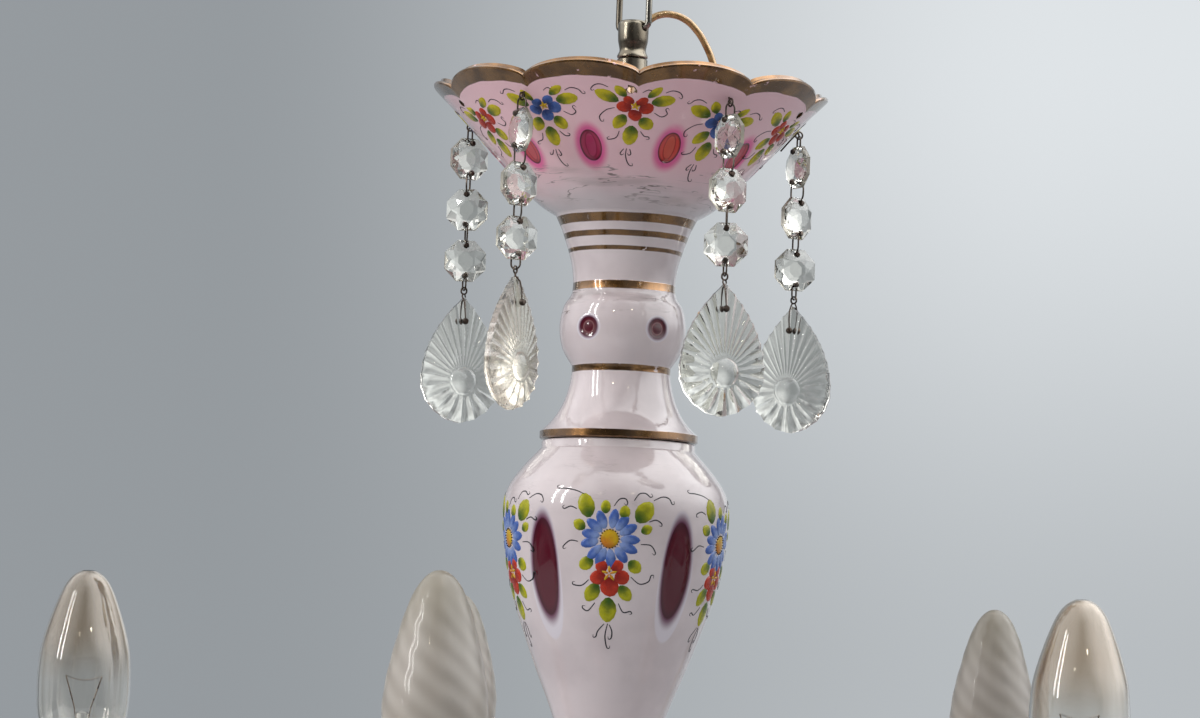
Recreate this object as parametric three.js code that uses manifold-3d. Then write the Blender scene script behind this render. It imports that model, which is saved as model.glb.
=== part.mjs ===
// A five-arm hanging chandelier of overlay glass, in millimetres, with +Z up.
// The origin is where its hook plate meets the ceiling, on the stem's axis. Everything hangs below.
import * as THREE from 'three';
import { mergeVertices } from 'three/addons/utils/BufferGeometryUtils.js';
import Module from 'manifold-3d';

const wasm = await Module();
wasm.setup();

// Running gap between pieces that touch or rest on each other
const gap = 0.3;

// Ceiling hook, canopy, chain link and bail
const plateRadius = 30;
const plateThickness = 3;
const screwSpacing = 40;
const screwHoleRadius = 2.3;
const hookStemSpare = 4;
const hookWire = 2.5;
const hookEye = 9.5;
const canopyRadius = 52;
const canopyHeight = 44;
const canopyNeck = 8;
const canopyWall = 1.6;
const canopyDrop = 40;
const linkWire = 1.5;
const linkHalfWidth = 6.5;
const linkInnerLength = 24;
const bailWire = 1.25;
const bailHeight = 48;
const bailLegClearance = 0.45;
const hangerTurnDeg = -42;

// Knob, lock nut and rod. The knob's top is measured from the joint of the two glass vases.
const knobTopAbove = 162;
const knobRadius = 5.9;
const knobHeight = 14.5;
const knobWaist = 5.1;
const bailHoleDrop = 2.8;
const rodRadius = 4;
const rodBore = 2.6;
const lockNutHeight = 8.2;

// Upper vase, measured up from the joint with the baluster vase
const footRadius = 30.1;
const footBand = 3.2;
const waistRadius = 18.8;
const waistHeight = 27;
const knopRadius = 24.1;
const knopHeight = 43;
const neckRadius = 19.6;
const neckHeight = 60;
const collarRadius = 26.4;
const collarHeight = 84.5;
const rimRadius = 75.4;
const rimHeight = 133.4;
const upperWall = 3.4;
const petals = 10;
const petalDipIn = 3.6;
const petalDipDown = 4.4;
const dropHoleBelowRim = 6.5;
const dropHoleRadius = 1.5;
const pinBelowRim = 10;

// Baluster vase, measured down from the same joint
const shoulderRadius = 42.8;
const shoulderDepth = 27;
const stemRadius = 14.8;
const stemDepth = 124;
const vaseFootRadius = 27;
const vaseLength = 152;
const vaseWall = 4;

// Strands: octagon beads and a pear-shaped drop on wire links
const pinNotchesDeg = [-108, -36, 36, 108, 180];
const pinTurnsDeg = [-6, 0, -3.5, -2.5, -3];
const beadTurnsDeg = [
  [147, 104, 124, 134],
  [-26, 77, 64, 94],
  [-88, 3, -32, -18],
  [-169, -59, -88, -131],
  [10, -20, 15, 0],
];
const pinReach = 1.6;
const beadWidth = 16;
const beadTable = 6.3;
const beadThickness = 6.4;
const beadEdge = 1.6;
const beadPitch = 20;
const beadHoleFromEdge = 2.1;
const beadHoleRadius = 1.3;
const strandWire = 0.4;
const firstLinkLength = 12.2;
const linkHalf = 3.1;
const dropWidth = 32;
const dropHeight = 49;
const dropThickness = 8;
const dropEdge = 3;
const dropPoint = 2.1;
const dropRound = 1.2;
const dropTipBelowLink = 2.7;
const buttonRadius = 5.2;
const buttonRise = 2;

// Arms and what stands on them
const armCount = 5;
const firstArmDeg = -106.6;
const armReach = 198;
const armRadius = 5;
const armSag = 66;
const armSeatDepth = 212;
const nippleLength = 18;
const bobecheRadius = 44;
const bobecheHeight = 14;
const bobecheWall = 3.2;
const bobechePetals = 8;
const sleeveRadius = 13.4;
const sleeveWall = 1.5;
const sleeveHeight = 76.5;
const holderSocketRadius = 10.6;
const bulbRadius = 17.5;
const bulbGlassHeight = 75.9;
const bulbCapRadius = 6.9;
const bulbCapLength = 27;

// Hub, lower bowl and finial
const hubRadius = 27;
const hubHeight = 44;
const hubWall = 4;
const cupDepth = 3;
const lowerBowlRadius = 36;
const lowerBowlHeight = 48;
const finialRadius = 15;
const finialHeight = 44;

// Supply lead. The points run from inside the knob, over the rim's inside and once round the rod.
// They are measured from the joint of the two vases, and the last lies at the terminal block.
const leadRadius = 1.4;
const leadPoints = [
  [0.9, 0.5, 154.2], [2.2, 1.3, 156.6], [4.0, 2.3, 160.1], [6.6, 3.4, 163.6], [10.2, 4.3, 165.6],
  [14.4, 4.9, 166.0], [19.6, 5.3, 164.4], [24.4, 5.6, 160.2], [28.2, 5.8, 154.4], [31.2, 5.9, 147.4],
  [33.2, 6.0, 140.0], [34.6, 6.4, 132.0], [35.4, 7.4, 124.0], [35.6, 9.6, 116.0], [34.6, 13.6, 109.0],
  [31.6, 19.0, 103.6], [26.2, 24.4, 100.4], [18.6, 29.2, 98.6], [9.6, 31.9, 97.4], [0.0, 32.6, 96.6],
  [-9.6, 30.8, 96.2], [-18.6, 26.8, 96.1], [-25.6, 20.2, 96.1], [-30.2, 12.4, 96.1], [-32.2, 3.6, 96.1],
  [-31.6, -5.6, 96.1], [-28.6, -14.2, 96.4], [-24.0, -21.4, 97.4], [-18.2, -28.0, 98.4], [-13.4, -29.2, 98.6],
];
const terminalLength = 12;
const terminalWidth = 8;
const terminalHeight = 6;

// Levels and sizes that follow from the ones above
const degree = Math.PI / 180;
const hookStemLength = canopyHeight + canopyNeck + canopyDrop + hookStemSpare;
const hookCentre = -plateThickness - hookStemLength - hookEye;
const hookBottom = hookCentre - hookEye;
const linkTop = hookBottom + hookWire + gap + linkWire;
const linkBottom = linkTop - linkInnerLength - 2 * linkWire;
const bailTop = linkBottom + linkWire + gap + bailWire;
const bailFoot = bailTop - bailHeight;
const jointLevel = bailFoot + bailHoleDrop - knobTopAbove;
const knobBottom = knobTopAbove - knobHeight;
const bailHole = knobTopAbove - bailHoleDrop;

// Pieces are drawn with flat sides, so a bore or a cup is opened to clear what sits in it at its flats too
const bored = (radius, sides) => (radius + gap) / Math.cos(Math.PI / sides);
const rodHole = bored(rodRadius, 12);

const white = { color: 0xefe6ea, roughness: 0.12, metalness: 0 };
const clear = { color: 0xf2f5f2, roughness: 0.04, metalness: 0, transparent: true, opacity: 0.45 };
const nickel = { color: 0x8c867a, roughness: 0.34, metalness: 1 };
const ivory = { color: 0xeee6cf, roughness: 0.5, metalness: 0 };
const gold = { color: 0xb07a2c, roughness: 0.3, metalness: 0 };

const chandelier = new THREE.Group();

// Turns a three.js geometry into an indexed one that is closed, has no flat triangles and faces outward.
function sewn(geometry) {
  const plain = geometry.clone();
  plain.deleteAttribute('normal');
  plain.deleteAttribute('uv');
  const merged = mergeVertices(plain, 1e-4);
  const positions = merged.attributes.position;
  const corners = [];
  let volume = 0;
  const a = new THREE.Vector3();
  const b = new THREE.Vector3();
  const c = new THREE.Vector3();
  for (let i = 0; i < merged.index.count; i += 3) {
    const [p, q, r] = [0, 1, 2].map((k) => merged.index.getX(i + k));
    if (p === q || q === r || r === p) continue;
    corners.push(p, q, r);
    a.fromBufferAttribute(positions, p);
    b.fromBufferAttribute(positions, q);
    c.fromBufferAttribute(positions, r);
    volume += a.dot(b.cross(c));
  }
  if (volume < 0) corners.reverse();
  const result = new THREE.BufferGeometry();
  result.setAttribute('position', new THREE.Float32BufferAttribute(positions.array.slice(), 3));
  result.setIndex(corners);
  return mergeVertices(result, 1e-4);
}

function solid(geometry) {
  const closed = sewn(geometry);
  return new wasm.Manifold(new wasm.Mesh({
    numProp: 3,
    vertProperties: new Float32Array(closed.attributes.position.array),
    triVerts: new Uint32Array(closed.index.array),
  }));
}

function joined(first, ...others) {
  return others.reduce((sum, next) => sum.add(solid(next)), solid(first));
}

function cut(body, ...cutters) {
  return cutters.reduce((rest, next) => rest.subtract(solid(next)), body);
}

function shapeOf(body) {
  const { vertProperties, triVerts, numProp } = body.getMesh();
  const geometry = new THREE.BufferGeometry();
  const points = [];
  for (let i = 0; i < vertProperties.length; i += numProp) {
    points.push(vertProperties[i], vertProperties[i + 1], vertProperties[i + 2]);
  }
  geometry.setAttribute('position', new THREE.Float32BufferAttribute(points, 3));
  geometry.setIndex(Array.from(triVerts));
  return geometry;
}

function place(name, geometry, finish, parent) {
  const closed = sewn(geometry);
  closed.computeVertexNormals();
  const mesh = new THREE.Mesh(closed, new THREE.MeshStandardMaterial(finish));
  mesh.name = name;
  parent.add(mesh);
  return mesh;
}

// A turned piece round Z from [radius, height] points
function turned(points, sides, turn = 0) {
  const profile = points.map(([radius, height]) => new THREE.Vector2(radius, height));
  return new THREE.LatheGeometry(profile, sides, turn).rotateX(Math.PI / 2);
}

// A turned piece with a bore, whose profile closes on itself
function ring(points, sides) {
  return turned([...points, points[0]], sides);
}

function rod(radius, low, high, sides) {
  return turned([[0, low], [radius, low], [radius, high], [0, high]], sides);
}

function tube(points, radius, sides, steps) {
  const path = new THREE.CatmullRomCurve3(points.map((p) => new THREE.Vector3(...p)), false, 'centripetal');
  const section = new THREE.Shape();
  for (let i = 0; i <= sides; i += 1) {
    const angle = (i / sides) * 2 * Math.PI;
    const [x, y] = [radius * Math.cos(angle), radius * Math.sin(angle)];
    if (i === 0) section.moveTo(x, y);
    else if (i < sides) section.lineTo(x, y);
    else section.closePath();
  }
  return new THREE.ExtrudeGeometry(section, { extrudePath: path, steps, bevelEnabled: false });
}

// A round bar along a line of [x, z] points
function bar(line, radius, sides) {
  const points = [];
  line.forEach(([x, z], i) => {
    const [x0, z0] = line[Math.max(i - 1, 0)];
    const [x1, z1] = line[Math.min(i + 1, line.length - 1)];
    const length = Math.hypot(x1 - x0, z1 - z0);
    for (let k = 0; k < sides; k += 1) {
      const around = (k / sides) * 2 * Math.PI;
      const out = (radius * Math.cos(around)) / length;
      points.push(x - out * (z1 - z0), radius * Math.sin(around), z + out * (x1 - x0));
    }
  });
  const geometry = gridOf(points, line.length, sides);
  const corners = Array.from(geometry.index.array).slice(0, (line.length - 1) * sides * 6);
  const last = (line.length - 1) * sides;
  for (let k = 1; k < sides - 1; k += 1) corners.push(0, k, k + 1, last, last + k + 1, last + k);
  geometry.setIndex(corners);
  return geometry;
}

// A closed wire link with straight sides and half-round ends, standing in the YZ plane.
// With an odd number of bends its ends are flat where the next piece hangs.
function wireLink(halfWidth, top, bottom, wire, sides, bends) {
  const line = [];
  for (const [start, level] of [[0, top - halfWidth], [Math.PI, bottom + halfWidth]]) {
    for (let i = 0; i <= bends; i += 1) {
      const angle = start + (i / bends) * Math.PI;
      const corner = bends % 2 && i % bends ? Math.cos(Math.PI / (2 * bends)) : 1;
      const reach = halfWidth / corner;
      line.push([reach * Math.cos(angle), level + reach * Math.sin(angle), angle]);
    }
  }
  const points = [];
  for (const [y, z, angle] of line) {
    for (let k = 0; k < sides; k += 1) {
      const around = (k / sides) * 2 * Math.PI;
      const out = wire * Math.cos(around);
      points.push(wire * Math.sin(around), y + out * Math.cos(angle), z + out * Math.sin(angle));
    }
  }
  return gridOf(points, line.length, sides);
}

// Joins rows of points into a ring-shaped skin that closes both ways
function gridOf(points, rows, columns) {
  const corners = [];
  for (let i = 0; i < rows; i += 1) {
    for (let k = 0; k < columns; k += 1) {
      const here = i * columns;
      const next = ((i + 1) % rows) * columns;
      const beside = (k + 1) % columns;
      corners.push(here + k, next + k, next + beside, here + k, next + beside, here + beside);
    }
  }
  const geometry = new THREE.BufferGeometry();
  geometry.setAttribute('position', new THREE.Float32BufferAttribute(points, 3));
  geometry.setIndex(corners);
  return geometry;
}

// How deep a scalloped rim dips, from 0 at a petal's crown to 1 at the notch between two petals
function notch(turn, count) {
  const along = ((turn * count) / (2 * Math.PI)) % 1;
  return 1 - Math.abs(Math.sin(Math.PI * along)) ** 0.6;
}

// A scalloped glass shell: the outer points go up, the inner ones come back down, and it closes on itself
function petalled(profile, count, perPetal, dipIn, dipDown, fadeFrom, fadeTo) {
  const columns = count * perPetal;
  const points = [];
  for (const [radius, height] of profile) {
    const rise = THREE.MathUtils.clamp((height - fadeFrom) / (fadeTo - fadeFrom), 0, 1);
    for (let k = 0; k < columns; k += 1) {
      const turn = (k / columns) * 2 * Math.PI;
      const dip = rise * rise * notch(turn, count);
      const reach = radius - dipIn * dip;
      points.push(reach * Math.sin(turn), -reach * Math.cos(turn), height - dipDown * dip);
    }
  }
  return gridOf(points, profile.length, columns);
}

// The line inside a wall: each point moved in, square to the outline
function inside(points, wall) {
  return points.map(([radius, height], i) => {
    const [r0, z0] = points[Math.max(i - 1, 0)];
    const [r1, z1] = points[Math.min(i + 1, points.length - 1)];
    const length = Math.hypot(r1 - r0, z1 - z0);
    return [radius - (wall * (z1 - z0)) / length, height + (wall * (r1 - r0)) / length];
  });
}

function smooth(points, count) {
  const curve = new THREE.SplineCurve(points.map((p) => new THREE.Vector2(...p)));
  return curve.getPoints(count).map((p) => [p.x, p.y]);
}

// Where a profile of rising heights reaches a radius, looked for from its top down
function heightAt(profile, radius) {
  for (let i = profile.length - 1; i > 0; i -= 1) {
    const [r1, z1] = profile[i];
    const [r0, z0] = profile[i - 1];
    if (r0 <= radius && radius <= r1) return z0 + ((z1 - z0) * (radius - r0)) / (r1 - r0);
  }
  return profile[0][1];
}

// Ceiling hook: a plate with two screw holes, a straight stem and an open eye, all one forging
const hanger = new THREE.Group();
hanger.rotation.z = hangerTurnDeg * degree;
chandelier.add(hanger);

const hookArc = [];
for (let turn = 110; turn <= 370; turn += 20) {
  const angle = turn * degree;
  hookArc.push([hookEye * Math.cos(angle), hookCentre + hookEye * Math.sin(angle)]);
}
const hookStemLow = hookCentre + hookEye + hookWire;
const hookPlate = turned([[0, -plateThickness], [plateRadius, -plateThickness], [plateRadius, 0], [0, 0]], 20);
const hookStem = bar([[0, -plateThickness + 1], [0, hookStemLow], [-1.2, hookStemLow - 2], ...hookArc], hookWire, 6);
const screwHoles = [-1, 1].map((side) => rod(screwHoleRadius, -plateThickness - 1, 1, 8)
  .translate((side * screwSpacing) / 2, 0, 0));
place('ceiling_hook', shapeOf(cut(joined(hookPlate, hookStem), ...screwHoles)), nickel, hanger);

// Ceiling canopy: a spun cup that hides the plate and slides down the stem
const canopyTop = -gap;
const canopyLow = canopyTop - canopyHeight;
const canopyBore = hookWire + 2 * gap;
const canopyOuter = [
  [canopyBore + 3, canopyLow - canopyNeck], [canopyBore + 3, canopyLow], [canopyRadius * 0.42, canopyLow + 5],
  [canopyRadius * 0.76, canopyLow + 17], [canopyRadius * 0.94, canopyLow + 31], [canopyRadius, canopyTop],
];
const canopyInner = inside(canopyOuter.slice(1), canopyWall).reverse();
canopyInner[0][1] = canopyTop;
canopyInner[canopyInner.length - 1] = [canopyBore, canopyLow + canopyWall + 1];
place('ceiling_canopy', ring([...canopyOuter, ...canopyInner, [canopyBore, canopyLow - canopyNeck]], 22), nickel,
  chandelier);

// Chain link, standing across the hook's eye
place('chain_link', wireLink(linkHalfWidth, linkTop, linkBottom, linkWire, 6, 6), nickel, hanger);

// Bail: a long wire bow whose legs hug the knob and turn into its two side holes
const bailLeg = knobRadius + bailLegClearance + bailWire;
const bailTip = rodBore + bailWire;
const bailHalf = [[bailTip, bailFoot], [bailLeg - 0.9, bailFoot], [bailLeg, bailFoot + 0.9]];
const bailArc = [];
for (let turn = 0; turn <= 180; turn += 30) {
  bailArc.push([bailLeg * Math.cos(turn * degree), bailTop - bailLeg + bailLeg * Math.sin(turn * degree)]);
}
const bailLine = [...bailHalf, ...bailArc, ...bailHalf.map(([x, z]) => [-x, z]).reverse()];
place('bail', bar(bailLine, bailWire, 8), nickel, hanger);

// Everything below hangs from the knob, measured from the joint of the two vases
const column = new THREE.Group();
column.position.z = jointLevel;
chandelier.add(column);

// Loop knob: waisted, bored for the rod from below, with two side holes for the bail and a slanted one for the lead
const knobOutline = turned([
  [0, knobBottom], [knobRadius, knobBottom], [knobRadius, knobBottom + 0.8], [knobWaist, knobBottom + 2.8],
  [knobRadius - 0.1, knobBottom + 6.6], [knobRadius, knobTopAbove - 2], [knobRadius - 1.1, knobTopAbove],
  [0, knobTopAbove],
], 16);
const knobBoreTop = knobBottom + 4.5;
const leadStart = new THREE.Vector3(...leadPoints[0]);
const leadExit = new THREE.Vector3(...leadPoints[2]);
const leadWay = leadExit.clone().sub(leadStart).normalize();
const leadHole = new THREE.CylinderGeometry(leadRadius + 0.6, leadRadius + 0.6, 30, 8);
leadHole.applyQuaternion(new THREE.Quaternion().setFromUnitVectors(new THREE.Vector3(0, 1, 0), leadWay));
const leadHoleCentre = leadStart.clone().addScaledVector(leadWay, 15 - 2.6);
leadHole.translate(leadHoleCentre.x, leadHoleCentre.y, leadHoleCentre.z);
const bailBore = bored(bailWire, 8);
const bailHoles = [0, 180].map((side) => new THREE.CylinderGeometry(bailBore, bailBore, knobRadius, 8)
  .rotateZ(Math.PI / 2)
  .translate(bailTip - gap + knobRadius / 2, 0, bailHole)
  .rotateZ((hangerTurnDeg + side) * degree));
const knobBody = cut(solid(knobOutline), rod(rodHole, knobBottom - 1, knobBoreTop, 12), leadHole, ...bailHoles);
place('loop_knob', shapeOf(knobBody), nickel, column);

// Lock nut right under the knob
const lockNutTop = knobBottom - gap;
place('lock_nut', ring([[rodHole, lockNutTop - lockNutHeight], [knobRadius, lockNutTop - lockNutHeight],
  [knobRadius, lockNutTop], [rodHole, lockNutTop]], 16), nickel, column);

// Upper vase: one blown piece, from the flared foot up to the scalloped rim
const footLine = new THREE.QuadraticBezierCurve(
  new THREE.Vector2(footRadius, footBand),
  new THREE.Vector2(waistRadius + 1.7, footBand + 7.3),
  new THREE.Vector2(waistRadius, waistHeight - 1.5),
).getPoints(2).map((p) => [p.x, p.y]);
const stemLine = smooth([
  [waistRadius, waistHeight + 1.5], [knopRadius - 1.4, knopHeight - 8], [knopRadius, knopHeight],
  [knopRadius - 1.3, knopHeight + 8], [neckRadius + 0.1, neckHeight - 3], [neckRadius + 0.7, neckHeight + 7],
  [collarRadius - 2.6, collarHeight - 6], [collarRadius, collarHeight],
], 8);
const bowlLine = smooth([
  [collarRadius + 0.8, collarHeight + 1.5], [collarRadius + 9.5, collarHeight + 7.4],
  [(collarRadius + rimRadius) / 2, collarHeight + 23], [rimRadius - 12.4, rimHeight - 12.6], [rimRadius, rimHeight],
], 4);
const upperOuter = [[footRadius, gap / 2], ...footLine, ...stemLine, ...bowlLine];
const upperLine = inside(upperOuter, upperWall);
upperLine[0] = [footRadius - upperWall, gap / 2];
upperLine[1] = [footRadius - upperWall, footBand];
const bowlFrom = upperLine.length - bowlLine.length;
const upperInner = upperLine.filter((point, i) => i < 2 || i % 2 === 0 || i >= bowlFrom);
const rimCrown = [rimRadius - upperWall * 0.36, rimHeight + 1.3];
const upperSkin = petalled([...upperOuter, rimCrown, ...[...upperInner].reverse()], petals, 4,
  petalDipIn, petalDipDown, collarHeight + 14, rimHeight);

// The five empty drop holes sit under notches. Between them are five wire pins with a ring, just off a notch.
function belowRim(turnDeg, distance) {
  const dip = notch(turnDeg * degree, petals);
  return [rimRadius - petalDipIn * dip - distance * Math.SQRT1_2,
    rimHeight - petalDipDown * dip - distance * Math.SQRT1_2];
}
function atNotch(geometry, angleDeg) {
  return geometry.rotateZ(angleDeg * degree);
}
const [holeRadial, holeHeight] = belowRim(0, dropHoleBelowRim);
function emptyHole(angleDeg) {
  const drill = new THREE.CylinderGeometry(dropHoleRadius, dropHoleRadius, 14, 6).rotateX(Math.PI / 4);
  return atNotch(drill.rotateX(Math.PI / 2).translate(0, -holeRadial, holeHeight), angleDeg);
}
const emptyAngles = pinNotchesDeg.map((angle) => angle + 360 / petals);
const pinRing = 1.4;
const [pinRadial, pinHeight] = belowRim(pinTurnsDeg[2], pinBelowRim);
const pivotRadial = pinRadial + pinReach;
const pivotHeight = pinHeight - pinReach;
const strandAnglesDeg = pinNotchesDeg.map((angle, i) => angle + pinTurnsDeg[i]);
const pinPieces = strandAnglesDeg.flatMap((angle) => {
  const loopLow = pivotHeight - gap - 2 * strandWire;
  const loop = wireLink(pinRing, loopLow + 2 * pinRing, loopLow, strandWire, 4, 2).translate(0, -pivotRadial, 0);
  const shank = new THREE.CylinderGeometry(strandWire, strandWire, 6, 4).rotateX(Math.PI / 4)
    .translate(0, -pivotRadial + 2.7, loopLow + pinRing + 2.7);
  return [atNotch(loop, angle), atNotch(shank, angle)];
});
const upperBody = joined(upperSkin, ...pinPieces);
place('upper_vase', shapeOf(cut(upperBody, ...emptyAngles.map(emptyHole))), white, column);

// Seating washer: a dished disc with its nut, which clamps the upper vase from inside the bowl
const washerRadius = collarRadius - 0.6;
const collarCorner = upperLine[bowlFrom - 1][0];
const washerGap = 1.6 * gap;
const washerSeat = [collarCorner - 2, collarCorner, washerRadius]
  .map((radius) => [radius - washerGap, heightAt(upperInner, radius) + washerGap]);
const washerLow = washerSeat[0][1];
const washerTop = washerSeat[2][1] + 1.6;
place('seating_washer', ring([[rodHole, washerLow], ...washerSeat, [washerRadius - washerGap, washerTop],
  [rodRadius * 2, washerTop], [rodRadius * 2, washerTop + 5], [rodHole, washerTop + 5]], 16), nickel, column);

// Baluster vase: the tall body, from the collar under the upper vase down to its foot
const vaseOuter = smooth([
  [footRadius - 0.9, -3], [shoulderRadius - 6.4, -11], [shoulderRadius - 1.5, -18.5], [shoulderRadius, -shoulderDepth],
  [shoulderRadius - 1.4, -shoulderDepth - 17], [shoulderRadius - 5, -shoulderDepth - 33],
  [shoulderRadius - 13.8, -shoulderDepth - 57.4], [stemRadius + 7.2, -stemDepth + 22], [stemRadius, -stemDepth],
  [stemRadius + 3.8, -stemDepth - 13], [vaseFootRadius, -vaseLength + 4],
], 10);
const vaseLine = [[footRadius - 0.9, -gap / 2], ...vaseOuter, [vaseFootRadius, -vaseLength]];
const vaseInner = inside([...vaseLine].reverse(), vaseWall);
vaseInner[0] = [vaseFootRadius - vaseWall, -vaseLength];
vaseInner[vaseInner.length - 1] = [footRadius - 0.9 - vaseWall, -gap / 2];
const vaseInnerUp = vaseInner.filter((point, i) => i % 2 === 0 || i === vaseInner.length - 1);
place('baluster_vase', ring([...vaseLine, ...vaseInnerUp], 24), white, column);

// Arm hub: a cup for the vase's foot over a hollow drum with a hole for each arm
const hubFloor = -vaseLength - gap;
const hubTop = hubFloor - 10;
const hubLow = hubTop - hubHeight + 10;
const armLevel = (hubTop + hubLow) / 2 - 1;
const cupBore = bored(vaseFootRadius, 20);
const cupRadius = cupBore + 2.4;
const hubSkin = ring([
  [rodHole, hubFloor], [cupBore, hubFloor], [cupBore, hubFloor + cupDepth],
  [cupRadius, hubFloor + cupDepth], [cupRadius, hubFloor - 2.4], [hubRadius * 0.6, hubFloor - 6],
  [hubRadius, hubTop], [hubRadius, hubLow], [hubRadius - hubWall, hubLow],
  [hubRadius - hubWall, hubTop - 4], [rodHole, hubTop - 4],
], 20);
const spigotRadius = armRadius - 1;
const armAngles = Array.from({ length: armCount }, (_, i) => firstArmDeg + (i * 360) / armCount);
const spigotBore = bored(spigotRadius, 8);
const armHoles = armAngles.map((angle) => new THREE.CylinderGeometry(spigotBore, spigotBore, 20, 8)
  .rotateZ(Math.PI / 2).translate(hubRadius - hubWall / 2, 0, armLevel).rotateZ(angle * degree));
place('arm_hub', shapeOf(cut(solid(hubSkin), ...armHoles)), nickel, column);

// Arms: S-shaped tubes, with a collar and spigot at the hub and a seat and nipple at the outer end
const armStart = hubRadius + gap;
const seatLevel = -armSeatDepth;
const armLow = armLevel - armSag;
const armBend = armReach * 0.62;
const armPath = new THREE.CurvePath();
armPath.add(new THREE.CubicBezierCurve3(
  new THREE.Vector3(armStart + 2, 0, armLevel), new THREE.Vector3(armStart + 40, 0, armLevel + 12),
  new THREE.Vector3(armBend - 44, 0, armLow + 8), new THREE.Vector3(armBend, 0, armLow),
));
armPath.add(new THREE.CubicBezierCurve3(
  new THREE.Vector3(armBend, 0, armLow), new THREE.Vector3(armBend + 38, 0, armLow - 8),
  new THREE.Vector3(armReach, 0, armLow - 6), new THREE.Vector3(armReach, 0, seatLevel - 5),
));
const armLine = armPath.getSpacedPoints(13).map((p) => [p.x, p.z]);
const collarDisc = rod(armRadius + 2, 0, 4, 8).rotateY(Math.PI / 2).translate(armStart, 0, armLevel);
const spigot = rod(spigotRadius, -hubWall - 4, 1, 6).rotateY(Math.PI / 2).translate(armStart, 0, armLevel);
const seatRadius = sleeveRadius;
const armSeat = turned([[0, seatLevel - 8], [armRadius + 0.6, seatLevel - 8], [seatRadius, seatLevel - 2.6],
  [seatRadius, seatLevel], [spigotRadius, seatLevel], [spigotRadius, seatLevel + nippleLength],
  [0, seatLevel + nippleLength]], 10).translate(armReach, 0, 0);
const armBody = shapeOf(joined(bar(armLine, armRadius, 8), collarDisc, spigot, armSeat));

// Bobeche: a scalloped glass pan that lies on the arm's seat
const panFloor = seatLevel + gap;
const panBore = bored(spigotRadius, 12);
const panOuter = [[panBore, panFloor], [seatRadius + 3, panFloor], [bobecheRadius * 0.68, panFloor + bobecheHeight * 0.26],
  [bobecheRadius, panFloor + bobecheHeight]];
const panInner = [[bobecheRadius - 2.2, panFloor + bobecheHeight + 1.2],
  [bobecheRadius * 0.68 - 1.6, panFloor + bobecheHeight * 0.26 + bobecheWall],
  [seatRadius + 2.2, panFloor + bobecheWall], [panBore, panFloor + bobecheWall]];
const panShape = petalled([...panOuter, ...panInner], bobechePetals, 3, 3, 2.6, panFloor + 5, panFloor + bobecheHeight);

// Lampholder: a flanged foot on the pan, a stem bored for the arm's nipple, and a socket for the bulb's cap
const holderFoot = panFloor + bobecheWall + gap;
const holderTop = holderFoot + sleeveHeight;
const glassLow = holderTop + gap;
const capLow = glassLow - bulbCapLength;
const socketFloor = capLow - gap;
const socketBore = bored(bulbCapRadius, 8);
const nippleTop = seatLevel + nippleLength + gap;
const sleeveSides = 12;
const holderFlange = (sleeveRadius - sleeveWall) * Math.cos(Math.PI / sleeveSides) - gap;
const holderShape = turned([
  [0, nippleTop], [spigotBore, nippleTop], [spigotBore, holderFoot], [holderFlange, holderFoot],
  [holderFlange, holderFoot + 2.5], [spigotRadius + 3, holderFoot + 4], [spigotRadius + 3, socketFloor - 7],
  [holderSocketRadius, socketFloor - 4], [holderSocketRadius, holderTop],
  [socketBore, holderTop], [socketBore, socketFloor], [0, socketFloor],
], 8);

// Candle sleeve: a plain tube that stands on the pan round the holder
const sleeveShape = ring([
  [sleeveRadius - sleeveWall, holderFoot], [sleeveRadius, holderFoot], [sleeveRadius, holderTop],
  [sleeveRadius - sleeveWall, holderTop],
], sleeveSides);

// Candle bulb: screw cap and pointed glass, as one solid
const bulbTip = glassLow + bulbGlassHeight;
const bulbShape = turned([
  [0, capLow], [3, capLow], [bulbCapRadius, capLow + 3.4], [bulbCapRadius, glassLow],
  [bulbRadius * 0.5, glassLow + 0.6], [bulbRadius * 0.74, glassLow + 9], [bulbRadius * 0.95, glassLow + 20],
  [bulbRadius, glassLow + 29], [bulbRadius * 0.985, bulbTip - 35], [bulbRadius * 0.9, bulbTip - 25],
  [bulbRadius * 0.72, bulbTip - 14], [bulbRadius * 0.5, bulbTip - 6], [bulbRadius * 0.3, bulbTip - 1.9],
  [0, bulbTip],
], 12);

armAngles.forEach((angle, i) => {
  const number = i + 1;
  const group = new THREE.Group();
  group.rotation.z = angle * degree;
  column.add(group);
  place(`arm_${number}`, armBody, nickel, group);
  place(`bobeche_${number}`, panShape, white, group).position.x = armReach;
  place(`lampholder_${number}`, holderShape, ivory, group).position.x = armReach;
  place(`candle_sleeve_${number}`, sleeveShape, ivory, group).position.x = armReach;
  place(`bulb_${number}`, bulbShape, clear, group).position.x = armReach;
});

// Lower bowl: an acorn-shaped glass cup, clamped up against the hub by the finial
const bowlTop = hubLow - gap;
const bowlLow = bowlTop - lowerBowlHeight;
const bowlSeat = 10;
const lowerOuter = smooth([
  [bowlSeat, bowlLow], [lowerBowlRadius * 0.52, bowlLow + 8], [lowerBowlRadius * 0.86, bowlLow + 24],
  [lowerBowlRadius, bowlTop - 9], [hubRadius + 3, bowlTop],
], 5);
const lowerInner = inside(lowerOuter, 3).reverse();
lowerInner[0] = [hubRadius, bowlTop];
lowerInner[lowerInner.length - 1] = [rodHole, bowlLow + 3];
place('lower_bowl', ring([...lowerOuter, ...lowerInner, [rodHole, bowlLow]], 22), white, column);

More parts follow.
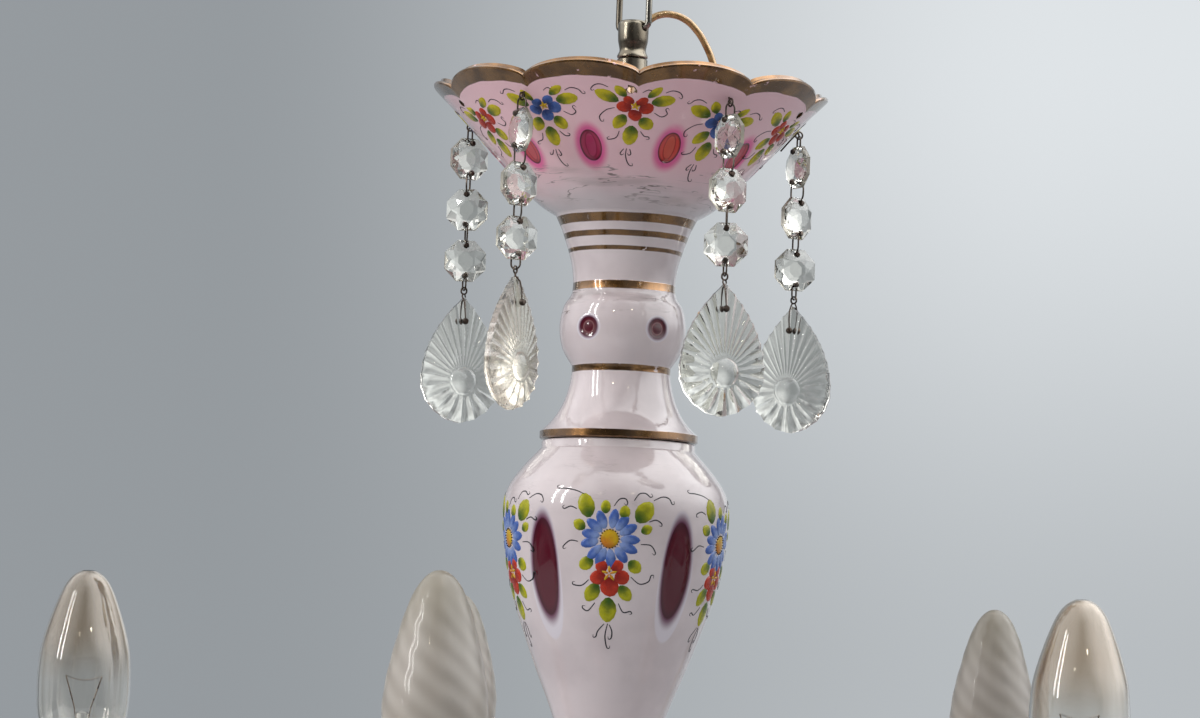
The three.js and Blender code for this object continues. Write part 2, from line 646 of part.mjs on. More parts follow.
// Finial: a glass ball with a metal-lined blind bore, screwed on the rod's lower end
const finialTop = bowlLow - gap;
const finialLow = finialTop - finialHeight;
const ballCentre = finialLow + finialRadius + 4;
const ballPoints = [];
for (let turn = -75; turn <= 60; turn += 22.5) {
  ballPoints.push([finialRadius * Math.cos(turn * degree), ballCentre + finialRadius * Math.sin(turn * degree)]);
}
const finialBore = finialTop - 14;
place('finial', turned([
  [0, finialBore], [rodHole, finialBore], [rodHole, finialTop], [bowlSeat - 1, finialTop], [bowlSeat - 2, finialTop - 5],
  [finialRadius * 0.4, ballCentre + finialRadius + 2], ...ballPoints.reverse(), [0, finialLow],
], 14), clear, column);

// Central rod: the hollow threaded tube that clamps it all, from the finial to the knob
const rodTop = knobBoreTop - gap;
const rodLow = finialBore + gap;
place('central_rod', ring([[rodBore, rodLow], [rodRadius, rodLow], [rodRadius, rodTop], [rodBore, rodTop]], 10),
  nickel, column);

// Supply lead and its terminal block, which lies in the bowl
const lead = tube(leadPoints, leadRadius, 8, 36);
place('supply_lead', lead, gold, column);
const leadEnd = new THREE.Vector3(...leadPoints[leadPoints.length - 1]);
const leadBefore = new THREE.Vector3(...leadPoints[leadPoints.length - 2]);
const blockLong = leadEnd.clone().sub(leadBefore).setZ(0).normalize();
const blockUp = new THREE.Vector3(-leadEnd.x, -leadEnd.y, Math.hypot(leadEnd.x, leadEnd.y)).normalize();
const blockWide = blockUp.clone().cross(blockLong).normalize();
const block = new THREE.BoxGeometry(terminalLength, terminalWidth, terminalHeight)
  .translate(terminalLength / 2 + gap, 0, 0)
  .applyMatrix4(new THREE.Matrix4().makeBasis(blockLong, blockWide, blockLong.clone().cross(blockWide)));
place('terminal_block', block.translate(leadEnd.x, leadEnd.y, leadEnd.z), ivory, column);

// Octagon bead, hanging in its own frame from the origin, facing along Y
function octagonBody(centre) {
  const apothem = Math.cos(Math.PI / 8);
  const [girdle, table] = [beadWidth / 2 / apothem, beadTable / 2 / apothem];
  return new THREE.LatheGeometry([
    [0, -beadThickness / 2], [table, -beadThickness / 2], [girdle, -beadEdge / 2],
    [girdle, beadEdge / 2], [table, beadThickness / 2], [0, beadThickness / 2],
  ].map((p) => new THREE.Vector2(...p)), 8, Math.PI / 8).translate(0, 0, -centre);
}
const holeOffset = beadHoleRadius * Math.cos(Math.PI / 6) - strandWire - gap;
const hungCentre = holeOffset + beadWidth / 2 - beadHoleFromEdge;
const linkDrop = beadPitch - hungCentre;
const lastLinkDrop = 11.5;
const lastLinkHalf = 2;

// The wire link under a bead stands in the plane that the next bead's hole faces
function lowerLink(centre, drop, half, turnDeg) {
  return wireLink(half, -centre - beadWidth / 2 + 2.6, -centre - drop, strandWire, 4, 3).rotateZ(turnDeg * degree);
}
function topRing(half, top, bottom, turnDeg) {
  return wireLink(half, top, bottom, strandWire, 4, 2).rotateZ((90 + turnDeg) * degree);
}

// Pear-shaped drop: a lens with a thin edge, a pointed top and a round button low on its face
function dropOutline(share, depth) {
  const points = [];
  const sides = 16;
  const belly = dropWidth / 2;
  const middle = -dropTipBelowLink - dropHeight + belly;
  for (let i = 0; i < sides; i += 1) {
    const angle = (i / sides) * 2 * Math.PI;
    const up = Math.cos(angle);
    const rise = up > 0 ? (dropHeight - belly) * up : belly * up;
    const across = belly * (up > 0 ? 1 - up ** dropPoint : Math.abs(Math.sin(angle)) ** dropRound);
    points.push([Math.sign(Math.sin(angle)) * across * share, depth, middle + rise * share]);
  }
  return points;
}
function dropBody() {
  const middle = -dropTipBelowLink - dropHeight + dropWidth / 2;
  const rings = [
    [[0, -dropThickness / 2 - buttonRise, middle]],
    dropOutline(buttonRadius / dropWidth, -dropThickness / 2 - buttonRise),
    dropOutline((2 * buttonRadius) / dropWidth, -dropThickness / 2),
    dropOutline(1, -dropEdge / 2), dropOutline(1, dropEdge / 2), dropOutline(0.4, dropThickness / 2),
    [[0, dropThickness / 2, middle]],
  ];
  const points = rings.flat(2);
  const corners = [];
  let start = 1;
  for (let i = 1; i < rings.length - 2; i += 1) {
    const size = rings[i].length;
    for (let k = 0; k < size; k += 1) {
      const [a, b] = [start + k, start + ((k + 1) % size)];
      corners.push(a, b, b + size, a, b + size, a + size);
    }
    start += size;
  }
  const size = rings[1].length;
  const last = points.length / 3 - 1;
  for (let k = 0; k < size; k += 1) {
    corners.push(0, 1 + ((k + 1) % size), 1 + k, last, start + k, start + ((k + 1) % size));
  }
  const geometry = new THREE.BufferGeometry();
  geometry.setAttribute('position', new THREE.Float32BufferAttribute(points, 3));
  geometry.setIndex(corners);
  return geometry;
}

strandAnglesDeg.forEach((angle, i) => {
  const strand = new THREE.Group();
  strand.rotation.z = angle * degree;
  strand.position.set(pivotRadial * Math.sin(angle * degree), -pivotRadial * Math.cos(angle * degree), pivotHeight);
  column.add(strand);
  const turns = beadTurnsDeg[i];
  const beadHole = (centre) => new THREE.CylinderGeometry(beadHoleRadius, beadHoleRadius, 12, 6)
    .translate(0, 0, -centre + beadWidth / 2 - beadHoleFromEdge);
  let level = 0;
  for (let bead = 0; bead < 3; bead += 1) {
    const last = bead === 2;
    const centre = bead === 0 ? firstLinkLength : hungCentre;
    const drop = last ? lastLinkDrop : linkDrop;
    const under = lowerLink(centre, drop, last ? lastLinkHalf : linkHalf, turns[bead + 1] - turns[bead]);
    const glass = bead === 0
      ? joined(octagonBody(centre), topRing(1.9, 0, -centre + beadWidth / 2 - 2, -turns[bead]))
      : cut(solid(octagonBody(centre)), beadHole(centre));
    const mesh = place(`strand_${i + 1}_bead_${bead + 1}`, shapeOf(glass.add(solid(under))), clear, strand);
    mesh.rotation.z = turns[bead] * degree;
    mesh.position.z = level;
    level -= centre + drop;
  }
  const ringTop = gap + 2 * strandWire;
  const pear = joined(dropBody(), topRing(1.3, ringTop, -dropTipBelowLink - 1.9, 0));
  const mesh = place(`strand_${i + 1}_drop`, shapeOf(pear), clear, strand);
  mesh.rotation.z = turns[3] * degree;
  mesh.position.z = level;
});

export default chandelier;
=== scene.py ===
# Looks of a five-arm chandelier of painted overlay glass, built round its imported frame.
import random
from math import atan2, cos, degrees, hypot, pi, radians, sin, sqrt
import bpy
from mathutils import Matrix, Vector


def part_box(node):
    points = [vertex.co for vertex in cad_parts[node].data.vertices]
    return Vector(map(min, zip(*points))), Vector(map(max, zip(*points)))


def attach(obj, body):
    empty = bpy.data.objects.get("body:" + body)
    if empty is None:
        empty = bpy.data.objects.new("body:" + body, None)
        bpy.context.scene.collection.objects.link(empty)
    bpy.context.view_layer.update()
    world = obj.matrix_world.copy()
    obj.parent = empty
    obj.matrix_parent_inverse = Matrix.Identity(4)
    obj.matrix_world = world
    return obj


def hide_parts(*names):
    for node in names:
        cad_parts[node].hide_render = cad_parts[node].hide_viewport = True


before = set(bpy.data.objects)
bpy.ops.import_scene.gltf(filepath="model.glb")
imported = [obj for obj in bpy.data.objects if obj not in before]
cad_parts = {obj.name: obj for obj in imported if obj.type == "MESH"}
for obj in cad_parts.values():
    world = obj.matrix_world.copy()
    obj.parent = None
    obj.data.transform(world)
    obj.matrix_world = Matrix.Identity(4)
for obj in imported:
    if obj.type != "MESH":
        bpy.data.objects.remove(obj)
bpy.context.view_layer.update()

# Camera: 1.4 m in front of the chandelier and a little below where its two vases meet, looking slightly up
# through a long lens. It leans by about two degrees, as the photograph does.
def add_object(name, data):
    made = bpy.data.objects.new(name, data)
    bpy.context.scene.collection.objects.link(made)
    return made


MM = 0.001
joint_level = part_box("upper_vase")[0].z / MM - 0.15     # where the two vases meet: the column's zero height
yaw, pitch, roll = radians(-0.341), radians(4.88), radians(2.1)
camera_away, camera_below, focal_length, film_width = 1377, 86, 108.96, 36
ahead = Vector((sin(yaw) * cos(pitch), cos(yaw) * cos(pitch), sin(pitch)))
level_right = Vector((cos(yaw), -sin(yaw), 0))
level_up = level_right.cross(ahead)
right = level_right * cos(roll) + level_up * sin(roll)
above = level_up * cos(roll) - level_right * sin(roll)
camera = add_object("camera", bpy.data.cameras.new("camera"))
camera.data.sensor_width, camera.data.lens = film_width, focal_length
camera.data.clip_start, camera.data.clip_end = 0.05, 60
turn = Matrix((right, above, -ahead)).transposed().to_4x4()
camera.matrix_world = Matrix.Translation(Vector((0, -camera_away, joint_level - camera_below)) * MM) @ turn
bpy.context.scene.camera = camera


# Supply lead: thin twisted copper in a clear gold-brown sheath. It comes up out of the knob's side,
# arches over the rim and lies in one loose turn in the bowl, where it ends in a porcelain terminal block.
class Value:
    """A number, a place or a colour in a material, held by a node's output. Sums with it add more nodes."""

    def __init__(self, node, output=0):
        self.tree, self.socket = node.id_data, node.outputs[output]

    def calc(self, operation, second=0.0, third=0.0):
        return Value(put(self.tree, "Math", {0: self, 1: second, 2: third}, operation=operation))

    def __add__(self, other):
        return self.calc("ADD", other)

    def __sub__(self, other):
        return self.calc("SUBTRACT", other)

    def __rsub__(self, other):
        return Value(put(self.tree, "Math", {0: other, 1: self}, operation="SUBTRACT"))

    def __mul__(self, other):
        return self.calc("MULTIPLY", other)

    def scaled(self, factor, shift):
        return self.calc("MULTIPLY_ADD", factor, shift)

    def most(self, other):
        return self.calc("MAXIMUM", other)


def plug(socket, value):
    """Sets a node's input: to a Value by a link, to a colour given as three numbers, or to a number."""
    if isinstance(value, Value):
        socket.id_data.links.new(value.socket, socket)
    else:
        socket.default_value = (*value, 1.0) if socket.type == "RGBA" else value


def put(tree, kind, inputs=None, **settings):
    node = tree.nodes.new("ShaderNode" + kind)
    for key, value in settings.items():
        setattr(node, key, value)
    for key, value in (inputs or {}).items():
        plug(node.inputs[key], value)
    return node


def ramp(value, low, high, start=0.0, end=1.0):
    levels = {"Value": value, "From Min": low, "From Max": high, "To Min": start, "To Max": end}
    return Value(put(value.tree, "MapRange", levels, interpolation_type="SMOOTHSTEP"))


def mix(share, first, second, how="MIX"):
    tree = next(part.tree for part in (share, first, second) if isinstance(part, Value))
    return Value(put(tree, "Mix", {0: share, 6: first, 7: second}, data_type="RGBA", blend_type=how), 2)


def grain(where, scale, detail=3.0):
    return Value(put(where.tree, "TexNoise", {"Vector": where, "Scale": scale, "Detail": detail}), "Fac")


def bump(height, depth, before=None):
    node = put(height.tree, "Bump", {"Height": height, "Strength": 1.0, "Distance": depth * MM})
    if before:
        plug(node.inputs["Normal"], before)
    return Value(node)


def start_finish(name):
    """Gives a new material and the place of each of its points on the piece."""
    material = bpy.data.materials.new(name)
    material.use_nodes = True
    return material, Value(put(material.node_tree, "TexCoord"), "Object")


def shaded(material, **sockets):
    for key, value in sockets.items():
        plug(material.node_tree.nodes["Principled BSDF"].inputs[key.replace("_", " ")], value)
    return material


def sheath_finish():
    material, where = start_finish("gold_sheath")
    mottle = grain(where, 260, 4)
    wave = {"Vector": where, "Scale": 190.0, "Distortion": 3.0, "Detail": 1.0}
    twist = Value(put(where.tree, "TexWave", wave, bands_direction="DIAGONAL"), "Fac")
    copper = mix(twist, (0.26, 0.135, 0.042), (0.44, 0.27, 0.095))
    return shaded(material, Base_Color=mix(ramp(mottle, 0.35, 0.7), copper, (0.37, 0.235, 0.09)),
                  Roughness=ramp(mottle, 0.3, 0.75, 0.16, 0.36), Metallic=0.35, Coat_Weight=0.8,
                  Coat_Roughness=0.12, Normal=bump(twist, 0.015))


lead_points = [
    (0.9, 0.5, 154.2), (2.2, 1.3, 156.6), (4.0, 2.3, 160.1), (6.6, 3.4, 163.6), (10.2, 4.3, 165.6),
    (14.4, 4.9, 166.0), (19.6, 5.3, 164.4), (24.4, 5.6, 160.2), (28.2, 5.8, 154.4), (31.2, 5.9, 147.4),
    (33.2, 6.0, 140.0), (34.6, 6.4, 132.0), (35.4, 7.4, 124.0), (35.6, 9.6, 116.0), (34.6, 13.6, 109.0),
    (31.6, 19.0, 103.6), (26.2, 24.4, 100.4), (18.6, 29.2, 98.6), (9.6, 31.9, 97.4), (0.0, 32.6, 96.6),
    (-9.6, 30.8, 96.2), (-18.6, 26.8, 96.1), (-25.6, 20.2, 96.1), (-30.2, 12.4, 96.1), (-32.2, 3.6, 96.1),
    (-31.6, -5.6, 96.1), (-28.6, -14.2, 96.4), (-24.0, -21.4, 97.4), (-18.2, -28.0, 98.4),
    (-13.4, -29.2, 98.6),
]
flex_radius, bow_between_knots = 1.4, 1.006
route = [Vector((x, y, joint_level + z)) * MM for x, y, z in lead_points]
lead_line = bpy.data.curves.new("supply_flex", "CURVE")
lead_line.dimensions = "3D"
lead_line.bevel_depth, lead_line.bevel_resolution, lead_line.use_fill_caps = flex_radius * MM, 6, True
spline = lead_line.splines.new("BEZIER")
spline.bezier_points.add(len(route) - 1)
for knot, point in zip(spline.bezier_points, route):
    knot.co, knot.handle_left_type, knot.handle_right_type = point, "AUTO", "AUTO"
spline.resolution_u = 8
lead_line.materials.append(sheath_finish())
supply_flex = add_object("supply_flex", lead_line)
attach(supply_flex, "chandelier")
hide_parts("supply_lead")


def porcelain_finish():
    material, where = start_finish("porcelain")
    stain = ramp(grain(where, 420, 5), 0.5, 0.72)
    return shaded(material, Base_Color=mix(stain, (0.82, 0.79, 0.72), (0.50, 0.43, 0.34)),
                  Roughness=ramp(stain, 0, 1, 0.14, 0.4), Normal=bump(grain(where, 900), 0.02))


terminal_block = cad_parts["terminal_block"]
terminal_block.data.materials[0] = porcelain_finish()


# Ceiling hook, canopy, chain link and bail: forged and drawn steel and a spun cup, all under old nickel
# that has gone dull and brown. The cup slides down the hook's stem; link and bail hang loose in each other.
def nickel_finish(name, bright=(0.34, 0.32, 0.29), dull=(0.10, 0.075, 0.05), worn=0.5, polish=0.0):
    material, where = start_finish(name)
    cloud = ramp(grain(where, 55, 5), worn - 0.12, worn + 0.16)
    pits = ramp(grain(where, 620, 4), 0.54 + 0.1 * polish, 0.66 + 0.1 * polish)
    rough = cloud.scaled(0.22 - 0.12 * polish, 0.26 - 0.12 * polish)
    return shaded(material, Base_Color=mix(pits, mix(cloud, bright, dull), (0.05, 0.035, 0.025)),
                  Metallic=0.92, Roughness=pits.scaled(0.2, rough),
                  Normal=bump(pits, -0.03, bump(grain(where, 180, 2), 0.05)))


def shape(name, points, faces, material, sharp=35):
    mesh = bpy.data.meshes.new(name)
    mesh.from_pydata([[value * MM for value in point] for point in points], [], faces)
    mesh.update()
    mesh.shade_smooth()
    mesh.set_sharp_from_angle(angle=radians(sharp))
    mesh.materials.append(material)
    return mesh


def show(name, mesh, stands_for=None, where=None, body="chandelier"):
    made = add_object(name, mesh)
    made.matrix_world = where or Matrix()
    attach(made, body)
    if stands_for:
        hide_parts(stands_for)
    return made


def around(count):
    return [2 * pi * k / count for k in range(count)]


def from_axis(angle, radius, height):
    """A point at an angle from the front, a radius and a height."""
    return radius * sin(angle), -radius * cos(angle), height


def turned(profile, sides, bored=False):
    """The skin that an outline of (radius, height) leaves as it turns. A bored one closes on itself."""
    points, faces, rows = [], [], []
    for radius, height in profile:
        count = 1 if radius < 1e-6 else sides
        rows.append((len(points), count))
        points += [from_axis(angle, radius, height) for angle in around(sides)[:count]]
    for (low, low_count), (high, high_count) in zip(rows, rows[1:] + rows[:1] if bored else rows[1:]):
        for k in range(sides):
            nxt = (k + 1) % sides
            corners = [low + k % low_count, low + nxt % low_count,
                       high + nxt % high_count, high + k % high_count]
            faces.append(list(dict.fromkeys(corners)))
    return points, faces


def banded(rings, sides, looped=False, start=0):
    """The faces between rings of points, and from the last ring to the first one if looped."""
    faces = []
    for i in range(rings if looped else rings - 1):
        here, there = start + i * sides, start + (i + 1) % rings * sides
        faces += [[here + k, here + (k + 1) % sides, there + (k + 1) % sides, there + k]
                  for k in range(sides)]
    return faces


def swept(line, radius, sides, looped=False):
    line = [Vector(point) for point in line]
    points, across = [], None
    for i, point in enumerate(line):
        before = line[i - 1] if i or looped else line[0]
        after = line[(i + 1) % len(line)] if looped or i + 1 < len(line) else line[i]
        way = (after - before).normalized()
        if across is None:
            across = way.orthogonal().normalized()
        across = (across - way * across.dot(way)).normalized()
        side = way.cross(across)
        size = radius[i] if isinstance(radius, list) else radius
        points += [point + (across * cos(angle) + side * sin(angle)) * size for angle in around(sides)]
    faces = banded(len(line), sides, looped)
    if not looped:
        faces += [list(range(sides))[::-1], [len(points) - sides + k for k in range(sides)]]
    return points, faces


def flowing(points, steps):
    line = []
    for i in range(len(points) - 1):
        near = [points[max(i - 1, 0)], points[i], points[i + 1], points[min(i + 2, len(points) - 1)]]
        for k in range(steps):
            t = k / steps
            line.append(tuple(0.5 * (2 * b + (c - a) * t + (2 * a - 5 * b + 4 * c - d) * t * t
                                     + (3 * b - a - 3 * c + d) * t ** 3) for a, b, c, d in zip(*near)))
    return line + [tuple(points[-1])]


def arc(centre, radius, start, end, steps):
    angles = [radians(start + (end - start) * k / steps) for k in range(steps + 1)]
    return [(centre[0] + radius * cos(a), centre[1] + radius * sin(a)) for a in angles]


def drilled(mesh, *cutters):
    """Cuts the cutters, which are lists of points and faces, out of the mesh."""
    body = add_object("blank", mesh)
    for points, faces in cutters:
        drill = add_object("drill", shape("drill", points, faces, mesh.materials[0]))
        step = body.modifiers.new("hole", "BOOLEAN")
        step.operation, step.solver, step.object = "DIFFERENCE", "EXACT", drill
    bpy.context.view_layer.update()
    result = bpy.data.meshes.new_from_object(body.evaluated_get(bpy.context.evaluated_depsgraph_get()))
    for step in list(body.modifiers):
        bpy.data.objects.remove(step.object, do_unlink=True)
    name = mesh.name
    bpy.data.objects.remove(body, do_unlink=True)
    result.name = name + "_drilled"
    result.set_sharp_from_angle(angle=radians(35))
    return result


def upright(points, centre=(0, 0, 0)):
    return [(centre[0] + x, centre[1], centre[2] + z) for x, z in points]


def about_z(turn_deg):
    return Matrix.Rotation(radians(turn_deg), 4, "Z")


hanger_turn = about_z(-42)
steel = nickel_finish("dull_steel", (0.22, 0.21, 0.185), (0.10, 0.085, 0.065), 0.5, 0.6)
plate_outline = [(0, -3), (28.8, -3), (30, -2.2), (30, 0), (0, 0)]
plate = drilled(shape("hook_plate", *turned(plate_outline, 96), steel),
                *[swept([(side * 20, 0, -5), (side * 20, 0, 2)], 2.3, 24) for side in (-1, 1)])
show("hook_plate", plate, "ceiling_hook", hanger_turn, "ceiling")
hook_line = [(0, -2.5), (0, -60), (0, -95), (-0.6, -97.6)] + arc((0, -108.5), 9.5, 112, 370, 36)
hook_stem = shape("hook_stem_and_eye", *swept(upright(hook_line), 2.5, 20), steel)
show("hook_stem_and_eye", hook_stem, None, hanger_turn, "ceiling")

canopy_outer = [(3.9, -52.3), (5.6, -52.3), (6.1, -51.8), (6.1, -46), (7.6, -44.6)]
canopy_outer += flowing([(7.6, -44.6), (21.84, -39.3), (39.52, -27.3), (48.88, -13.3), (51.2, -2.4)], 10)[1:]
canopy_outer += [(52, -1.9), (52, -0.3)]
canopy_inner = [(50.4, -0.3)]
canopy_inner += flowing([(49.6, -2.6), (47.4, -13.3), (38.2, -26.2), (21.2, -37.8), (8, -42.2)], 10)
canopy_nickel = nickel_finish("canopy_nickel", (0.46, 0.43, 0.39), (0.20, 0.16, 0.12), 0.56)
canopy_outline = canopy_outer + canopy_inner + [(3.2, -42.2), (3.2, -51.6)]
canopy = shape("spun_canopy", *turned(canopy_outline, 128, True), canopy_nickel)
show("spun_canopy", canopy, "ceiling_canopy", None, "canopy")

link_top, link_bottom = -120.2, -134.2
link_round = arc((0, link_top), 6.5, 0, 180, 20) + arc((0, link_bottom), 6.5, 180, 360, 20)
link_wire = swept([(0, y, z) for y, z in link_round], 1.5, 16, True)
show("wire_chain_link", shape("wire_chain_link", *link_wire, steel), "chain_link", hanger_turn, "link")

bail_side = [(3.85, -185.65), (5.6, -185.65), (6.7, -185.4), (7.35, -184.75), (7.6, -183.6), (7.6, -170)]
bail_path = bail_side + arc((0, -145.25), 7.6, 0, 180, 24) + [(-x, z) for x, z in reversed(bail_side)]
bail = shape("bent_bail", *swept(upright(bail_path), 1.25, 16), steel)
show("bent_bail", bail, "bail", hanger_turn, "bail")


# Loop knob, lock nut, rod and seating washer: brass turned on a lathe and nickelled, darkened by handling.
# The rod runs down inside all the glass, and the nut and washer clamp the upper vase on it.
column = Matrix.Translation(Vector((0, 0, joint_level)) * MM)
knob_nickel = nickel_finish("knob_nickel", (0.24, 0.22, 0.18), (0.14, 0.12, 0.09), 0.47, 1.0)


def bore(start, way, radius, sides=24):
    start, way = Vector(start), Vector(way)
    return swept([start, start + way], radius, sides)


knob_outline = [(0, 147.5), (5.6, 147.5), (5.9, 147.8), (5.9, 148.4), (5.7, 148.8)]
knob_outline += flowing([(5.7, 148.8), (5.1, 150.3), (5.35, 152.2), (5.75, 154.2), (5.88, 157)], 6)[1:]
knob_outline += [(5.9, 160.2)] + arc((4.1, 160.2), 1.8, 10, 80, 6) + [(0, 162)]
bail_way = hanger_turn @ Vector((1, 0, 0))
lead_way = Vector(lead_points[2]) - Vector(lead_points[0])
knob_holes = [bore((0, 0, 146), (0, 0, 6), 4.3)] + [
    bore(bail_way * 3.5 * side + Vector((0, 0, 159.2)), bail_way * 6 * side, 1.6) for side in (-1, 1)]
knob_holes.append(bore(Vector(lead_points[0]) + lead_way * 0.1, lead_way * 3, 2.0))
knob = drilled(shape("turned_knob", *turned(knob_outline, 64), knob_nickel), *knob_holes)
show("turned_knob", knob, "loop_knob", column)
nut_outline = [(4.3, 139.2), (5.5, 139.2), (5.9, 139.6), (5.9, 146.7), (5.5, 147.15), (4.3, 147.15)]
nut = shape("plain_lock_nut", *turned(nut_outline, 64, True), knob_nickel)
show("plain_lock_nut", nut, "lock_nut", column)
rod_outline = [(2.6, -258.6), (3.6, -258.6), (4, -258.2), (4, 151.2), (3.6, 151.7), (2.6, 151.7)]
rod_brass = nickel_finish("rod_brass", (0.42, 0.33, 0.19), (0.14, 0.10, 0.06))
show("hollow_rod", shape("hollow_rod", *turned(rod_outline, 40, True), rod_brass), "central_rod", column)
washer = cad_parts["seating_washer"]
washer.data.materials[0] = nickel_finish("washer_nickel", worn=0.42)


# Upper vase: blown in one piece, white glass over ruby, with windows cut through to the ruby, a gilt lip and
# gilt rings, and sprays of flowers in raised enamel. It stands on its foot, held down by the washer.
def axes(place):
    node = put(place.tree, "SeparateXYZ", {0: place})
    return [Value(node, axis) for axis in "XYZ"]


def carried(where, name, output="Fac"):
    """What a mesh carries under this name."""
    return Value(put(where.tree, "Attribute", attribute_name=name), output)


def band(value, low, inner_low, inner_high, high):
    """1 between the two inner limits of a value, falling to 0 at the outer ones."""
    return ramp(value, low, inner_low) * ramp(value, high, inner_high)


def overlay_finish(name, rings=(), lip=0.0, grime=(), pink_and_lit_band=None, veil=(0.72, 0.75, 0.0)):
    """Rings are gilt bands [low, high], and the band after the grime gives the heights between which the
    white turns pink, in mm. That pink is partly the glass's own colour and partly painted light: it is made
    brighter to stand in for light from below.
    Grime is bands [low, high, strength]. The veil is the edge of the white, cut back round a window.
    Windows of kind 0 to 1 are ruby to coral with a pink glow. Plain ones are -1, fine-ringed ones -0.7."""
    material, where = start_finish(name)
    height = axes(where)[2] * (1 / MM)
    level = height + grain(where, 90, 2).scaled(0.5, -0.25)
    colour = mix(ramp(grain(where, 38, 4), 0.35, 0.7), (0.745, 0.652, 0.668), (0.64, 0.555, 0.572))
    # Partly painted light: the glass's own pink, made brighter than the glass would be, to stand in for the
    # light from below that the bowl's underside doesn't get.
    if pink_and_lit_band:
        uneven = grain(where, 30, 3).scaled(14.0, height - 7.0)
        colour = mix(ramp(uneven, *pink_and_lit_band), colour, (0.88, 0.555, 0.60))

    across, along, kind = axes(carried(where, "window", "Vector"))

    def away(wide, long, shift=0.0):
        sideways, lengthways = across * wide, along.scaled(long, shift)
        return (sideways * sideways + lengthways * lengthways).calc("SQRT")

    far, edge, eye_line = away(1, 1), away(*veil), away(2.0, 1.22)
    eyed, coral = kind.calc("GREATER_THAN", -0.5), kind.most(0.0)
    ringed = kind.calc("GREATER_THAN", -0.85) - eyed
    eye = band(eye_line, 0.84, 0.95, 1.0, 1.12)
    pool = eyed * ramp(eye_line, 1.0, 0.85)
    fine_ring = band(far, 0.5, 0.58, 0.62, 0.72)
    ruby = mix(eyed, (0.095, 0.004, 0.015), mix(coral, (0.40, 0.022, 0.085), (0.70, 0.07, 0.045)))
    ruby = mix(pool * 0.45, ruby, mix(coral, (0.46, 0.05, 0.15), (0.66, 0.17, 0.09)))
    ruby = mix(eye * eyed * 0.45, ruby, (0.07, 0.003, 0.012))
    ruby = mix(fine_ring * ringed * 0.35, ruby, (0.42, 0.20, 0.20))
    ruby = mix(ramp(far, 0.78, 1.0), ruby, (0.06, 0.004, 0.014))
    veiled = mix(ramp(edge, 1.04, 0.97), colour, (0.76, 0.70, 0.76))
    veiled = mix(ramp(far, 1.30, 1.0), veiled, (0.16, 0.05, 0.10))
    glowing = mix(ramp(far, 1.78, 1.05), colour, (0.80, 0.13, 0.34))
    colour = mix(ramp(far, 1.04, 0.98), mix(eyed, veiled, glowing), ruby)

    if grime:
        level_lines = Value(put(where.tree, "VectorMath", {0: where, 1: (0.4, 0.4, 3.2)},
                                operation="MULTIPLY"))
        scratch = ramp((grain(level_lines, 75, 4) - 0.5).calc("ABSOLUTE"), 0.012, 0.003)
        scratch = scratch * ramp(grain(where, 75, 2), 0.42, 0.6)
        smudge = ramp(grain(level_lines, 90, 4), 0.5, 0.74) * 0.35
        marks, dirt = scratch.most(smudge), 0.0
        for low, high, strength in grime:
            dirt = (band(level, low - 3, low + 2, high - 2, high + 2) * marks * strength).most(dirt)
        colour = mix(dirt, colour, (0.15, 0.115, 0.10))

    gilt = 0.0
    for low, high in rings:
        gilt = band(level, low - 0.15, low + 0.15, high - 0.15, high + 0.15).most(gilt)
    if lip:
        uneven = grain(where, 60, 2).scaled(2.2, carried(where, "from_rim"))
        gilt = ramp(uneven, lip + 1.35, lip + 0.95).most(gilt)
    worn = ramp(grain(where, 330, 5), 0.66, 0.72)
    gilt = gilt * (1.0 - worn * 0.8)
    gold = mix(ramp(grain(where, 120, 4), 0.35, 0.65), (0.25, 0.125, 0.042), (0.12, 0.058, 0.021))
    glaze = ramp(grain(where, 900, 3), 0.3, 0.8, 0.10, 0.19)
    return shaded(material, Base_Color=mix(gilt, colour, gold), Metallic=gilt * 0.85,
                  Roughness=gilt.scaled(0.10, glaze), Coat_Weight=0.9, Coat_Roughness=0.04,
                  Specular_IOR_Level=0.12, Normal=bump(gilt, 0.05, bump(grain(where, 48, 2), 0.35)))


def inset(line, wall):
    """The line inside a wall: each point of an outline that goes up, moved in square to it."""
    result = []
    for i, (radius, height) in enumerate(line):
        (r0, z0), (r1, z1) = line[max(i - 1, 0)], line[min(i + 1, len(line) - 1)]
        length = hypot(r1 - r0, z1 - z0)
        result.append((radius - wall * (z1 - z0) / length, height + wall * (r1 - r0) / length))
    return result


def lengths_along(line):
    total, result = 0.0, [0.0]
    for (r0, z0), (r1, z1) in zip(line, line[1:]):
        total += hypot(r1 - r0, z1 - z0)
        result.append(total)
    return result


def scallop(count, dip_in, dip_down, fade_from, fade_to, turn_deg=0.0):
    """How a rim of petals draws a point in and down: not on a petal's crown, and most between two petals."""
    def drawn(angle, radius, height):
        rise = min(max((height - fade_from) / (fade_to - fade_from), 0), 1)
        dip = rise * rise * (1 - abs(sin(count * (angle - radians(turn_deg)) / 2)) ** 0.6)
        return radius - dip_in * dip, height - dip_down * dip
    return drawn


def from_front(angle, centre):
    return (angle - radians(centre) + pi) % (2 * pi) - pi


